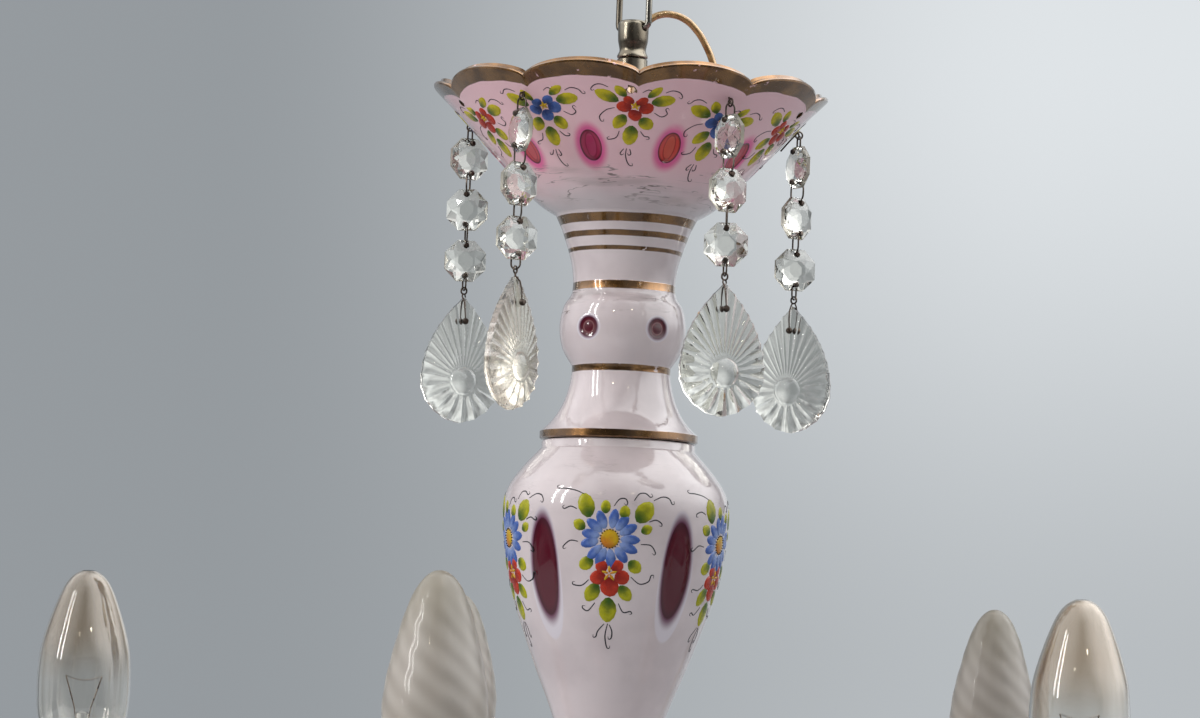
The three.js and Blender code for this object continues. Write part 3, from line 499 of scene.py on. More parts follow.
def glass_shell(name, outer, inner, columns, material, windows=(), petals=None, depth=0.5):
    """A glass shell from an outer outline that goes up and an inner one that comes down. Windows lie in
    shallow dishes: (angle from the front, height, half width, half length along the wall, kind)."""
    along, inner_along = lengths_along(outer), lengths_along(inner)
    panes = []
    for angle, height, half_width, half_length, coral in windows:
        nearest = min(range(len(outer)), key=lambda i: abs(outer[i][1] - height))
        panes.append((angle, along[nearest], half_width, half_length, coral))

    def in_window(angle, radius, distance):
        """How far across and along the nearest window a point lies, in halves of it, and that window."""
        best = (9.0, 9.0, None)
        for pane in panes:
            found = (from_front(angle, pane[0]) * radius / pane[2], (distance - pane[1]) / pane[3], pane)
            if hypot(*found[:2]) < hypot(*best[:2]):
                best = found
        return best

    rows = outer + inner
    normals = [(a[0] - b[0], a[1] - b[1]) for a, b in zip(outer, inset(outer, 1.0))]
    points, rim, corners = [], [], []
    for i, (radius, height) in enumerate(rows):
        for k, angle in enumerate(around(columns)):
            r, z = petals(angle, radius, height) if petals else (radius, height)
            if i < len(outer):
                dish = max(0.0, 1.25 - hypot(*in_window(angle, radius, along[i])[:2])) / 1.25
                dish = depth * min(1.0, 2.2 * dish)
                r, z = r - dish * normals[i][0], z - dish * normals[i][1]
            points.append(from_axis(angle, r, z))
            rim.append(along[-1] - along[i] if i < len(outer) else inner_along[i - len(outer)])
            pane = None
            if i + 1 < len(outer):
                sideways, _, pane = in_window(2 * pi * (k + 0.5) / columns, radius,
                                              (along[i] + along[i + 1]) / 2)
            if pane and sideways < 9:
                for row, column_step in ((i, k), (i, k + 1), (i + 1, k + 1), (i + 1, k)):
                    off = from_front(2 * pi * column_step / columns, pane[0])
                    corners += [off * outer[row][0] / pane[2], (along[row] - pane[1]) / pane[3], pane[4]]
            else:
                corners += [9.0, 9.0, 0.0] * 4
    mesh = shape(name, points, banded(len(rows), columns, True), material, 50)
    mesh.attributes.new("window", "FLOAT_VECTOR", "CORNER").data.foreach_set("vector", corners)
    mesh.attributes.new("from_rim", "FLOAT", "POINT").data.foreach_set("value", rim)
    return mesh


foot_curve = [tuple(a * (1 - t) ** 2 + 2 * b * t * (1 - t) + c * t * t
                    for a, b, c in zip((30.1, 3.2), (20.5, 10.5), (18.8, 25.5)))
              for t in [k / 16 for k in range(17)]]
neck_line = flowing([(18.8, 28.5), (22.7, 35), (24.1, 43), (22.8, 51), (19.7, 57), (20.3, 67), (23.8, 78.5),
                     (26.4, 84.5)], 8)
bowl_line = flowing([(27.2, 86), (35.9, 91.9), (50.9, 107.5), (63, 120.8), (75.4, 133.4)], 14)
upper_outer = [(29.4, 0.15), (30.1, 0.7), (30.1, 2.9)] + foot_curve + neck_line + bowl_line
upper_inner = [(26.7, 0.15), (26.7, 3.2)] + inset(foot_curve, 3.4)[6::4] + inset(neck_line, 3.4)[2::4]
upper_inner += inset(bowl_line, 3.4)[2:]
lip_round = [(75.5, 134.1), (75.1, 134.6), (74.3, 134.8), (73.5, 134.5)]
upper_petals = scallop(10, 3.6, 4.4, 98.5, 133.4, 2.3)
coral_shares = {-48.6: 0.5, -16.6: 0.0, 17.4: 0.85, 54.4: 0.35, 92: 0.2, 127: 0.3, 161: 0.1, 197: 0.4,
                233: 0.2, 270: 0.3}
bowl_windows = [(angle, 106.6, 4.1, 6.9, coral) for angle, coral in coral_shares.items()]
knop_windows = [(a, 42.4, 3.8, 3.8, -0.7) for a in (-33, 33.5, 104, 180, 256)]
upper_rings = [(0, 3.2), (26, 28.5), (57, 60), (71.4, 72.9), (76.5, 78.6), (81.7, 84.9)]
upper_grime = [(89, 100, 0.8), (47.5, 57, 1.0)]
# From 86 to 104 mm the bowl's white turns pink, and that pink is made brighter as painted light in place of
# light from below.
upper_glass = overlay_finish("painted_upper_glass", upper_rings, 7.2, upper_grime, (86, 104))
upper_mesh = glass_shell("painted_upper_vase", upper_outer + lip_round[:2],
                         lip_round[2:] + upper_inner[::-1], 320, upper_glass,
                         bowl_windows + knop_windows, upper_petals, 0.55)


def together(*parts):
    points, faces = [], []
    for more_points, more_faces in parts:
        faces += [[corner + len(points) for corner in face] for face in more_faces]
        points += list(more_points)
    return points, faces


hole_drills = []
for way in map(about_z, (0, 72, 144, 216, 288)):
    hole_drills.append(bore(way @ Vector((0, -71.2, 120.4)), way @ Vector((0, 8, 8)), 1.5, 16))
upper_mesh = drilled(upper_mesh, together(*hole_drills))
show("painted_upper_vase", upper_mesh, "upper_vase", column)


def on_wall(outer, petals=None):
    """Gives the point, and the ways right, up and out, at an angle and a distance along an outline."""
    along = lengths_along(outer)

    def spot(angle, distance):
        distance = min(max(distance, 0), along[-1] - 1e-6)
        i = next(k for k in range(len(along) - 1) if along[k + 1] > distance)
        share = (distance - along[i]) / (along[i + 1] - along[i])
        r, z = (a + (b - a) * share for a, b in zip(outer[i], outer[i + 1]))
        if petals:
            r, z = petals(angle, r, z)
        return Vector(from_axis(angle, r, z))

    def found(centre_deg, height, x, y):
        start = along[min(range(len(outer)), key=lambda i: abs(outer[i][1] - height))]
        distance = start + y
        near = spot(0, distance)
        angle = radians(centre_deg) + x / hypot(near.x, near.y)
        point = spot(angle, distance)
        rightward = (spot(angle + 0.01, distance) - spot(angle - 0.01, distance)).normalized()
        upward = (spot(angle, distance + 0.5) - spot(angle, distance - 0.5)).normalized()
        return point, rightward, upward, rightward.cross(upward).normalized()
    return found


class Enamel:
    """Gathers raised dabs and strokes of enamel on one wall into one mesh, with a colour for each point."""

    def __init__(self, wall, seed):
        self.wall, self.points, self.faces, self.colours = wall, [], [], []
        self.chance = random.Random(seed)

    def at(self, spray, x, y, lift):
        point, _, _, out = self.wall(spray[0], spray[1], x, y)
        return point + out * lift

    def dab(self, spray, centre, half, way, tint, heart, tip=0.0, rise=0.22, sides=12):
        """A dab of half (length, width), turned by way degrees and pointed by tip, with a heart's tint."""
        turn, start = radians(way), len(self.points)
        for share, lift in ((1.0, -0.2), (0.93, 0.06), (0.6, rise * 0.8)):
            for angle in around(sides):
                x = half[0] * share * cos(angle) * (1 + 0.05 * sin(2 * angle + centre[0]))
                y = half[1] * share * sin(angle) * abs(sin(angle)) ** tip
                spot = (centre[0] + x * cos(turn) - y * sin(turn), centre[1] + x * sin(turn) + y * cos(turn))
                self.points.append(self.at(spray, *spot, lift))
                blend = max(0.0, -cos(angle)) ** 0.6 * 0.95 if share < 0.99 else 0.0
                self.colours.append([a * (1 - blend) + b * blend for a, b in zip(tint, heart)])
        self.points += [self.at(spray, *centre, rise), self.at(spray, *centre, -0.25)]
        self.colours += [[(a + b) / 2 for a, b in zip(tint, heart)], tint]
        self.faces += banded(3, sides, start=start)
        for k in range(sides):
            nxt, top = (k + 1) % sides, start + 2 * sides
            self.faces += [[top + k, top + nxt, top + sides], [start + nxt, start + k, top + sides + 1]]

    def stroke(self, spray, line, width=0.36, tint=(0.055, 0.028, 0.038)):
        """A thin line of the brush that swells in its middle and curls to one side at its end."""
        line = [Vector(point) for point in line]
        back = (line[-1] - line[-2]).normalized()
        side = Vector((-back.y, back.x)) * self.chance.choice((-1, 1))
        line += [line[-1] + back * 0.5 + side * 0.9, line[-1] - back * 0.5 + side * 1.25]
        line = [Vector(point) for point in flowing([tuple(p) for p in line], 5)]
        start, section = len(self.points), ((-1, -0.12), (-0.7, 0.06), (0, 0.12), (0.7, 0.06), (1, -0.12))
        for i, point in enumerate(line):
            way = line[min(i + 1, len(line) - 1)] - line[max(i - 1, 0)]
            side = Vector((way.y, -way.x)).normalized()
            size = width * 0.5 * (0.45 + 1.1 * sin(pi * min(1, 0.15 + i / (len(line) - 1) * 0.9)))
            for offset, lift in section:
                spot = point + side * offset * size
                self.points.append(self.at(spray, spot.x, spot.y, lift))
                self.colours.append(tint)
        count = len(section)
        self.faces += [face[::-1] for face in banded(len(line), count, start=start)]
        self.faces.append([start + k for k in range(count)])
        self.faces.append([len(self.points) - 1 - k for k in range(count)])

    def mesh(self, name, material):
        made = shape(name, self.points, self.faces, material, 60)
        layer = made.color_attributes.new("paint", "FLOAT_COLOR", "POINT")
        layer.data.foreach_set("color", [value for colour in self.colours for value in (*colour[:3], 1.0)])
        return made


def enamel_finish():
    material, where = start_finish("raised_enamel")
    paint, streak = carried(where, "paint", "Color"), grain(where, 480, 4)
    streaked = mix(ramp(streak, 0.42, 0.62, 0, 0.45), paint, mix(1.0, paint, (0.6, 0.62, 0.6), "MULTIPLY"))
    return shaded(material, Base_Color=streaked, Roughness=ramp(streak, 0.3, 0.7, 0.22, 0.4),
                  Specular_IOR_Level=0.25, Normal=bump(streak, 0.06))


RED, RED_DARK = (0.53, 0.042, 0.018), (0.26, 0.014, 0.012)
BLUE, BLUE_DARK = (0.075, 0.14, 0.41), (0.02, 0.035, 0.14)
LEAF, VASE_LEAF, LEAF_DARK = (0.58, 0.47, 0.018), (0.45, 0.43, 0.014), (0.02, 0.09, 0.012)
YELLOW, ORANGE = (0.66, 0.40, 0.015), (0.57, 0.18, 0.018)
DOT = (0.02, 0.018, 0.02)

bowl_leaves = [
    (-10.4, 3.0, 10, 5.6, 155), (10.4, 1.6, 9.8, 5.6, 6), (-5.4, 5.9, 6.2, 4.4, 125),
    (7.2, 5.9, 6.8, 4.0, 32), (-5.2, -8.2, 7.8, 5.4, 236), (4.4, -8.6, 7.4, 5.6, 302),
    (-1.1, -14.2, 10.4, 6.2, 268),
]
bowl_petals = [(-2.3, 2.2, 2.1), (2.6, 2.2, 2.1), (-3.9, -1.2, 2.6), (4.3, -1.5, 2.6), (0.2, -4.5, 2.8)]
bowl_strokes = [
    [(-10, 7.0), (-12.6, 8.0), (-14.8, 7.6), (-16.2, 5.9)],
    [(11, 5.4), (13.6, 6.3), (16.2, 5.4), (17.2, 3.6)],
    [(-7.3, -2.2), (-10.2, -3.4), (-12.6, -6.2), (-12.2, -8.3)],
    [(7.3, -3.8), (9.9, -5.6), (12, -4.4), (11.4, -2.4)], [(-5.2, -12.6), (-6.2, -15.6), (-8.8, -16.6)],
    [(2.6, -12.2), (4, -14.4), (5.6, -14.8)], [(2.6, 6.9), (4.6, 7.7), (6.2, 6.6)],
    [(-2.2, -20.4), (-2.4, -23.6), (-1.7, -26.6), (-0.6, -28.2)], [(-3.2, -20.6), (-4.4, -22.6)],
    [(-1.0, -20.6), (-0.5, -22.8)],
]
bowl_sprays = [(1.4, 120.8), (34.7, 117.5), (69.4, 119), (106.4, 120), (142.4, 120.5), (178.4, 120.5),
               (214.4, 120), (255.4, 120.5), (295.4, 119), (328.9, 121)]


def out_from(x, y, reach, way):
    return x + reach * cos(radians(way)), y + reach * sin(radians(way))


bowl_paint = Enamel(on_wall(bowl_line, upper_petals), 5)
for number, spray in enumerate(bowl_sprays):
    petal, petal_dark = ((RED, RED_DARK), (BLUE, BLUE_DARK))[number % 2]
    for x, y, length, width, way in bowl_leaves:
        tilt = way + bowl_paint.chance.uniform(-8, 8)
        bowl_paint.dab(spray, (x, y), (length / 2, width / 2), tilt, LEAF, LEAF_DARK, 0.25)
    for x, y, size in bowl_petals:
        way = degrees(atan2(y - 0.2, x - 0.2))
        size *= bowl_paint.chance.uniform(0.98, 1.12)
        bowl_paint.dab(spray, (x, y), (size * 1.06, size), way, petal, petal_dark, 0.0, 0.3)
    for way in (18, 90, 162, 234, 306):
        bowl_paint.dab(spray, out_from(0.2, 0.2, 0.9, way), (1.15, 0.5), way, YELLOW, YELLOW, 0.2, 0.4, 8)
    bowl_paint.dab(spray, (0.2, 0.2), (0.9, 0.85), 0, YELLOW, ORANGE, 0.0, 0.46)
    bowl_paint.dab(spray, (0.1, 0.2), (0.3, 0.3), 0, DOT, DOT, 0.0, 0.52, 6)
    for line in bowl_strokes:
        bowl_paint.stroke(spray, line)
enamel = enamel_finish()
show("bowl_sprays", bowl_paint.mesh("bowl_sprays", enamel), None, column)


# Baluster vase: the tall glass body below, blown and painted like the upper one, with five long ruby windows
# and a spray between each two. It stands in the hub's cup and carries the upper vase on its mouth.
vase_line = flowing([(29.2, -3), (36.4, -11), (41.3, -18.5), (42.8, -27), (41.4, -44), (37.8, -60),
                     (29, -84.4), (22, -102), (14.8, -124), (18.6, -137), (27, -148)], 12)
vase_outer = [(26.6, -151.95), (27, -151.4)] + vase_line[::-1] + [(29.2, -0.9), (28.7, -0.2)]
vase_inner = [(25.2, -0.2)] + [(r, z) for r, z in inset(vase_line[::-1], 4)[::-1][4:-4:3]] + [(23, -151.6)]
vase_windows = [(a, -49.5, 5.8, 18.2, -1.0) for a in (-39.8, 35.3, 106.8, 178.8, 250.8)]
vase_glass = overlay_finish("painted_vase_glass", [(-152, -147), (-127, -124.5)], 0.0, [(-30, -2, 0.12)],
                            None, (0.79, 0.73, 0.10))
vase_mesh = glass_shell("painted_baluster", vase_outer, vase_inner, 288, vase_glass, vase_windows, None, 0.8)
show("painted_baluster", vase_mesh, "baluster_vase", column)

vase_leaves = [
    (-9.1, 12.1, 5.1, 3.4, 112), (12.7, 10.1, 4.9, 3.7, 50), (-1.8, 11.7, 2.8, 2.0, 95),
    (5.3, 9.9, 2.8, 2.2, 75), (-11.5, 4.9, 2.7, 2.3, 150), (13.7, 3.8, 2.4, 2.0, 25),
    (-8.5, -9.3, 3.3, 2.7, 215), (9.5, -10.0, 3.1, 2.7, -30), (-6.0, -20.1, 4.2, 3.0, 235),
    (6.1, -20.1, 3.7, 2.6, -60), (-0.1, -26.7, 5.2, 3.5, 270),
]
rose_petals = [(-2.7, -10.3, 2.6), (3.0, -10.1, 2.6), (-4.0, -14.5, 3.1), (4.9, -14.2, 3.1),
               (0.4, -17.9, 3.9)]
vase_strokes = [
    [(-10, 16.2), (-13.4, 17.6), (-17.5, 18.3), (-20.6, 18.4)],
    [(8.6, 14.3), (10.4, 16.9), (12.8, 17.2), (14.6, 15.9)],
    [(16, 14.6), (19.5, 16.2), (22.3, 15.6), (23.4, 13.8)],
    [(1.3, 12.1), (3.1, 14.6), (5.3, 14.9), (6.2, 13.4)], [(-12.7, 10.7), (-15.2, 11.6), (-17.7, 10.7)],
    [(14.6, 6.7), (17.2, 7.5), (19.4, 6.4)], [(-11.9, -1.3), (-15, -1), (-17.7, -3.1)],
    [(11.6, -1.7), (15.4, -1.9), (17.3, -4.4)], [(-7.4, -15.4), (-10, -17.6), (-13.2, -17.4)],
    [(8.2, -13.9), (11.5, -16.4), (14.9, -15.4), (15.9, -13.1)],
    [(-4.9, -24.1), (-7.4, -27.2), (-9.4, -26.4)], [(3.8, -24.1), (5.6, -27.4), (8.2, -27)],
    [(0, -32), (-0.9, -36.8), (-0.2, -41.2)], [(-1.3, -32.1), (-3.6, -35), (-4.3, -37.2)],
    [(0.6, -32.4), (1.6, -35), (1.4, -37.6)],
]
vase_paint = Enamel(on_wall(vase_outer), 9)
for spray in [(angle, -38.7) for angle in (-2.7, 68.3, 141.8, 213.8, 289.3)]:
    for x, y, length, width, way in vase_leaves:
        tilt = way + vase_paint.chance.uniform(-6, 6)
        vase_paint.dab(spray, (x, y), (length, width), tilt, VASE_LEAF, LEAF_DARK, 0.25)
    for x, y, size in rose_petals:
        way = degrees(atan2(y + 12.9, x - 0.2))
        vase_paint.dab(spray, (x, y), (size, size * 0.95), way, RED, RED_DARK, 0.0, 0.3)
    for way in (90, 162, 234, 306, 378):
        vase_paint.dab(spray, out_from(0.2, -12.9, 1.7, way), (1.6, 0.55), way, YELLOW, ORANGE, 0.3, 0.4, 8)
    for k in range(13):
        way = 360 / 13 * k + vase_paint.chance.uniform(-4, 4)
        spot = out_from(0, 0, vase_paint.chance.uniform(7.2, 7.8), way)
        vase_paint.dab(spray, spot, (3.8, 2.0), way, (0.062, 0.13, 0.43), (0.25, 0.34, 0.63), 0.1, 0.26)
    vase_paint.dab(spray, (0, 0), (3.7, 3.6), 60, YELLOW, ORANGE, 0.0, 0.4, 20)
    for way in [radians(18 * k) for k in range(20)]:
        vase_paint.dab(spray, (3.55 * cos(way), 3.45 * sin(way)), (0.32, 0.32), 0, DOT, DOT, 0.0, 0.5, 6)
    for line in vase_strokes:
        vase_paint.stroke(spray, line, 0.4, (0.03, 0.028, 0.035))
show("vase_sprays", vase_paint.mesh("vase_sprays", enamel), None, column)


# Hub and arms: a turned and nickelled cup for the vase's foot over a hollow drum, with five bent tubes let
# into its side. Each arm ends in a turned seat with a threaded nipple.
hub_nickel = nickel_finish("hub_nickel", (0.40, 0.36, 0.30), (0.15, 0.11, 0.07))
hub_outer = [(23, -196.3), (26.2, -196.3), (27, -195.6), (27, -191.6), (26.2, -190.8), (26.2, -189.6),
             (27, -188.8), (27, -170.4), (26.2, -169.6), (26.2, -168.4), (27, -167.6), (27, -163.2)]
hub_outer += flowing([(27, -163.2), (24.6, -161), (19.4, -159.6), (16.4, -158.2), (18.6, -156.4),
                      (26, -155)], 6)[1:]
hub_outer += [(29.4, -154.7), (30, -154), (30, -149.7), (29.6, -149.3), (28.2, -149.3), (27.7, -149.7),
              (27.7, -152.3)]
hub_inner = [(4.35, -152.3), (4.35, -166.3), (23, -166.3)]
arm_level, arm_reach = -180.3, 198
arm_turns = [about_z(72 * k - 106.6) for k in range(5)]
hub = drilled(shape("turned_hub", *turned(hub_outer + hub_inner, 128, True), hub_nickel),
              *[bore(way @ Vector((20, 0, arm_level)), way @ Vector((12, 0, 0)), 4.35) for way in arm_turns])
show("turned_hub", hub, "arm_hub", column)


def bent(first, second, third, last, steps):
    """A cubic curve between two ends, in the arm's own upright plane."""
    line = []
    for k in range(steps + 1):
        t = k / steps
        weights = ((1 - t) ** 3, 3 * t * (1 - t) ** 2, 3 * t * t * (1 - t), t ** 3)
        line.append(tuple(sum(w * p[axis] for w, p in zip(weights, (first, second, third, last)))
                          for axis in (0, 1)))
    return line


bend_start, bend_middle, bend_end = (29.3, arm_level), (122.76, -246.3), (arm_reach, -218)
arm_path = [(19.5, arm_level), (27.3, arm_level)]
arm_path += bent(bend_start, (67.3, -168.3), (78.76, -238.3), bend_middle, 30)
arm_path += bent(bend_middle, (160.76, -254.3), (arm_reach, -252.3), bend_end, 30)[1:]
arm_sizes = [4.0, 4.0] + [5.0] * (len(arm_path) - 2)
arm_tube = shape("bent_arm", *swept(upright(arm_path), arm_sizes, 28), hub_nickel)
collar_line = [(x, 0, arm_level) for x in (27.3, 27.5, 28, 30.4, 31, 31.3)]
arm_collar = shape("arm_collar", *swept(collar_line, [6.2, 6.8, 7, 7, 6.6, 5.6], 40), hub_nickel)
seat_outline = [(0, -220), (5, -220), (5.6, -219.4), (6.2, -218.2), (8.6, -216.6), (12.4, -215.2),
                (13.4, -214.4), (13.4, -212.6), (12.8, -212), (4, -212), (4, -194.6), (3.4, -194), (0, -194)]
arm_seat = shape("arm_seat", *turned(seat_outline, 64), hub_nickel)
arm_ends = [column @ way @ Matrix.Translation((arm_reach * MM, 0, 0)) for way in arm_turns]
for number, (way, end) in enumerate(zip(arm_turns, arm_ends), 1):
    show(f"bent_arm_{number}", arm_tube, f"arm_{number}", column @ way)
    show(f"arm_collar_{number}", arm_collar, None, column @ way)
    show(f"arm_seat_{number}", arm_seat, None, end)


# Bobeches: five scalloped pans of the same white glass with a gilt lip, each lying loose on an arm's seat
# with the lampholder's foot on it.
pan_outer = [(4.35, -211.7), (15.8, -211.7)]
pan_outer += flowing([(16.4, -211.7), (22, -210.9), (29.92, -208.06), (37.6, -203.8), (43.6, -197.7)], 10)
pan_inner = [(43.2, -197), (42.5, -196.6), (41.8, -196.6)]
pan_inner += flowing([(41.2, -197), (35.6, -201.6), (28.3, -204.9), (21.4, -207.6), (15.6, -208.5)], 10)
pan_inner.append((4.35, -208.5))
pan_petals = scallop(8, 3, 2.6, -206.7, -197.7)
pan_glass = overlay_finish("pan_glass", (), 3.2, [(-210, -204, 0.5)], (-206, -199))
pan = glass_shell("scalloped_pan", pan_outer, pan_inner, 160, pan_glass, (), pan_petals, 0)
for number, (way, end) in enumerate(zip(arm_turns, arm_ends), 1):
    own_pan = pan.copy()
    own_pan.transform(way)
    show(f"scalloped_pan_{number}", own_pan, f"bobeche_{number}", Matrix.Translation(end.translation))


# Lampholders and candle sleeves: moulded plastic sockets on the arms' nipples, inside plain ivory tubes
# that stand on the pans.
def plastic_finish(name, clean, aged, rough=0.42):
    material, where = start_finish(name)
    specks = ramp(grain(where, 700, 3), 0.62, 0.7)
    colour = mix(ramp(grain(where, 45, 5), 0.38, 0.68), clean, aged)
    return shaded(material, Base_Color=mix(specks, colour, (0.30, 0.24, 0.16)),
                  Roughness=specks.scaled(0.2, rough), Subsurface_Weight=0.1,
                  Normal=bump(grain(where, 260, 3), 0.05))


holder_plastic = plastic_finish("holder_plastic", (0.66, 0.62, 0.52), (0.52, 0.45, 0.33))
holder_outline = [(0, -193.7), (4.35, -193.7), (4.35, -208.2), (11.0, -208.2), (11.3, -207.9), (11.3, -206),
                  (11, -205.7), (7.4, -204.2), (7, -203.8), (7, -166.3), (10.2, -162.9), (10.6, -162.4),
                  (10.6, -132.1), (10.2, -131.7), (7.75, -131.7), (7.75, -158.7), (0, -158.7)]
holder = shape("moulded_holder", *turned(holder_outline, 48), holder_plastic)
sleeve_ivory = plastic_finish("sleeve_ivory", (0.74, 0.68, 0.53), (0.60, 0.50, 0.34), 0.36)
sleeve_outline = [(11.9, -208.2), (13.1, -208.2), (13.4, -207.9), (13.4, -132.4), (12.9, -131.7),
                  (11.9, -131.7)]
sleeve = shape("card_sleeve", *turned(sleeve_outline, 72, True), sleeve_ivory)
for number, end in enumerate(arm_ends, 1):
    show(f"moulded_holder_{number}", holder, f"lampholder_{number}", end)
    show(f"card_sleeve_{number}", sleeve, f"candle_sleeve_{number}", end)


# Candle bulbs: thin blown glass on a pressed screw cap. Two are clear, with a smoky tip and a filament on
# two leads. Three are milky with ridges that wind up to the tip.
def milky_finish():
    material, where = start_finish("milky_bulb_glass")
    # Painted shade and highlight: the glass is darker in the grooves between the ridges and lighter on their
    # crests.
    ridge_shaded_tone = mix(carried(where, "swirl"), (0.53, 0.475, 0.42), (0.65, 0.595, 0.535))
    towards_tip = ramp(axes(where)[2] * (1 / MM), -88, -58) * 0.8
    return shaded(material, Base_Color=mix(towards_tip, ridge_shaded_tone, (0.44, 0.395, 0.31)),
                  Roughness=ramp(grain(where, 70, 3), 0.3, 0.7, 0.28, 0.42), Transmission_Weight=0.35,
                  IOR=1.3, Coat_Weight=0.35, Coat_Roughness=0.03, Normal=bump(grain(where, 200, 3), 0.05))


def clear_finish():
    material, where = start_finish("clear_bulb_glass")
    haze = grain(where, 70, 3)
    smoke = ramp(haze.scaled(12.0, axes(where)[2] * (1 / MM)), -94, -70)
    return shaded(material, Base_Color=mix(smoke, (0.92, 0.905, 0.87), (0.78, 0.69, 0.59)),
                  Roughness=ramp(haze, 0.4, 0.8, 0.0, 0.06), Transmission_Weight=1.0, IOR=1.45,
                  Normal=bump(grain(where, 160, 2), 0.01))


bulb_side = flowing([(6.6, -131.2), (8.75, -130.8), (12.95, -122.4), (16.6, -111.4), (17.5, -101),
                     (17.3, -91.6), (16.5, -84.6), (14.7, -77.6), (11.9, -69.2), (8.9, -62.1), (6, -58.1),
                     (3, -56.1), (0.9, -55.7)], 8)
milky_side = flowing([(8.75, -130.8), (12.95, -122.4), (16.6, -111.4), (17.5, -101), (16.5, -91.6),
                      (15.1, -84.6), (13.3, -77.6), (11.0, -69.4), (8.0, -62.3), (5.2, -58.3), (2.7, -56.3),
                      (0.9, -55.7)], 8)
clear_wall = bulb_side + [(0, -55.6), (0, -56.4)] + inset(bulb_side, 0.7)[::-1]
clear_glass, milky_glass = clear_finish(), milky_finish()
filament_metal = nickel_finish("filament_wire", (0.36, 0.33, 0.30), (0.16, 0.12, 0.10))
cap_metal = nickel_finish("screw_cap", (0.62, 0.58, 0.50), (0.34, 0.28, 0.20), 0.6)
cap_outline = [(0, -158.4), (3, -158.4), (3.4, -157.4), (5.2, -155.4)]
for step in range(6):
    cap_outline += [(6.2, -154.6 + step * 3.4), (6.9, -153.4 + step * 3.4), (6.9, -152.6 + step * 3.4)]
cap_outline += [(6.4, -134.2), (6.9, -133.2), (6.9, -131.5), (0, -131.5)]
bulb_cap = shape("screw_cap", *turned(cap_outline, 48), cap_metal)
clear_bulb = shape("clear_bulb_glass", *turned(clear_wall, 96), clear_glass)


def swirled_bulb(columns=144, ridges=9, twist=0.079, depth=0.15):
    """The milky bulb's glass, closed at its foot. Soft ridges wind up it by twist radians per mm."""
    points, swirl = [], []
    for radius, height in milky_side:
        grown = min(max((height + 126) / 18, 0), 1) * min(max((-57.5 - height) / 9, 0), 1)
        for angle in around(columns):
            wave = 0.5 + 0.5 * sin(ridges * (angle + twist * height))
            points.append(from_axis(angle, radius - depth * grown * (1 - wave), height))
            # How near each point lies to a ridge's crest. The glass's colour uses it for painted shade in the
            # grooves and painted highlight on the crests.
            swirl.append(wave * grown)
    ends = [list(range(columns))[::-1], [len(points) - columns + k for k in range(columns)]]
    mesh = shape("swirled_bulb_glass", points, banded(len(milky_side), columns) + ends, milky_glass, 60)
    mesh.attributes.new("swirl", "FLOAT", "POINT").data.foreach_set("value", swirl)
    return mesh


milky_bulb = swirled_bulb()
lead_path = [(-1.6, 0, -131.8), (-1.6, 0, -116), (-3.2, 0, -107), (-6.8, 0, -95.6)]
filament = []
for k in range(61):
    share = k / 60
    sag = 1.6 * sin(pi * share)
    filament.append((-6.8 + 13.6 * share, 0.4 * sin(k * 2.1), -95.6 + 0.4 * cos(k * 2.1) - sag))
stem_outline = [(0, -131.6), (3.2, -131.6), (2.2, -126), (1.9, -114), (2.6, -109.4), (0, -108.4)]
bulb_inside = {
    "lead_a": (*swept(lead_path, 0.26, 8), filament_metal),
    "lead_b": (*swept([(-x, y, z) for x, y, z in lead_path], 0.26, 8), filament_metal),
    "filament": (*swept(filament, 0.08, 6), filament_metal),
    "stem": (*turned(stem_outline, 24), clear_glass),
}
for number, end in enumerate(arm_ends, 1):
    body = f"bulb_{number}"
    show(f"screw_cap_{number}", bulb_cap, body, end, body)
    if number in (2, 5):
        show(f"clear_glass_{number}", clear_bulb, None, end, body)
        upright_end = Matrix.Translation(end.translation)
        for label, form in bulb_inside.items():
            show(f"{label}_{number}", shape(label, *form), None, upright_end, body)
    else:
        show(f"swirled_glass_{number}", milky_bulb, None, end, body)


# Lower bowl and finial: an acorn-shaped cup of the white glass with gilt rings, clamped up against the hub
# by a cut glass ball that screws on the rod's end.
low_outer = [(4.35, -244.6), (9.6, -244.6)]
low_outer += flowing([(10, -244.5), (18.72, -236.6), (30.96, -220.6), (36, -205.6), (30, -196.6)], 14)
low_inner = [(27, -196.6)]
low_inner += flowing([(28.6, -198.6), (32.4, -205.8), (28, -219), (17, -233.4), (4.35, -241.6)], 10)
low_glass = overlay_finish("lower_bowl_glass", [(-200.4, -196.6), (-244.6, -241.4), (-208.5, -207.2)], 0.0)
low_windows = [(a, -219.5, 4.1, 7.5, 0.2) for a in (0, 72, 144, 216, 288)]
low_mesh = glass_shell("painted_lower_bowl", low_outer, low_inner, 160, low_glass, low_windows, None, 0.4)
show("painted_lower_bowl", low_mesh, "lower_bowl", column)


def crystal_finish(name, tint=(0.88, 0.87, 0.81), dull=0.12):
    material, where = start_finish(name)
    dust = ramp(grain(where, 330, 5), 0.5, 0.75)
    return shaded(material, Base_Color=mix(dust, tint, (0.80, 0.78, 0.73)), Transmission_Weight=1.0,
                  IOR=1.53, Roughness=ramp(dust, 0, 1, dull - 0.12, dull),
                  Normal=bump(grain(where, 210, 2), 0.012))


crystal = crystal_finish("cut_crystal")
ball = [(15 * cos(radians(a)), -269.9 + 15 * sin(radians(a))) for a in range(-72, 61, 12)]
finial_outline = [(0, -288.7), (2.6, -288.2), (4.2, -285.6)] + ball
finial_outline += [(6.2, -254), (7.6, -251.4), (9, -249.4), (9, -245.4), (8.6, -244.95), (4.35, -244.95),
                   (4.35, -258.9), (0, -258.9)]
finial = shape("cut_finial", *turned(finial_outline, 20), crystal, 12)
show("cut_finial", finial, "finial", column)


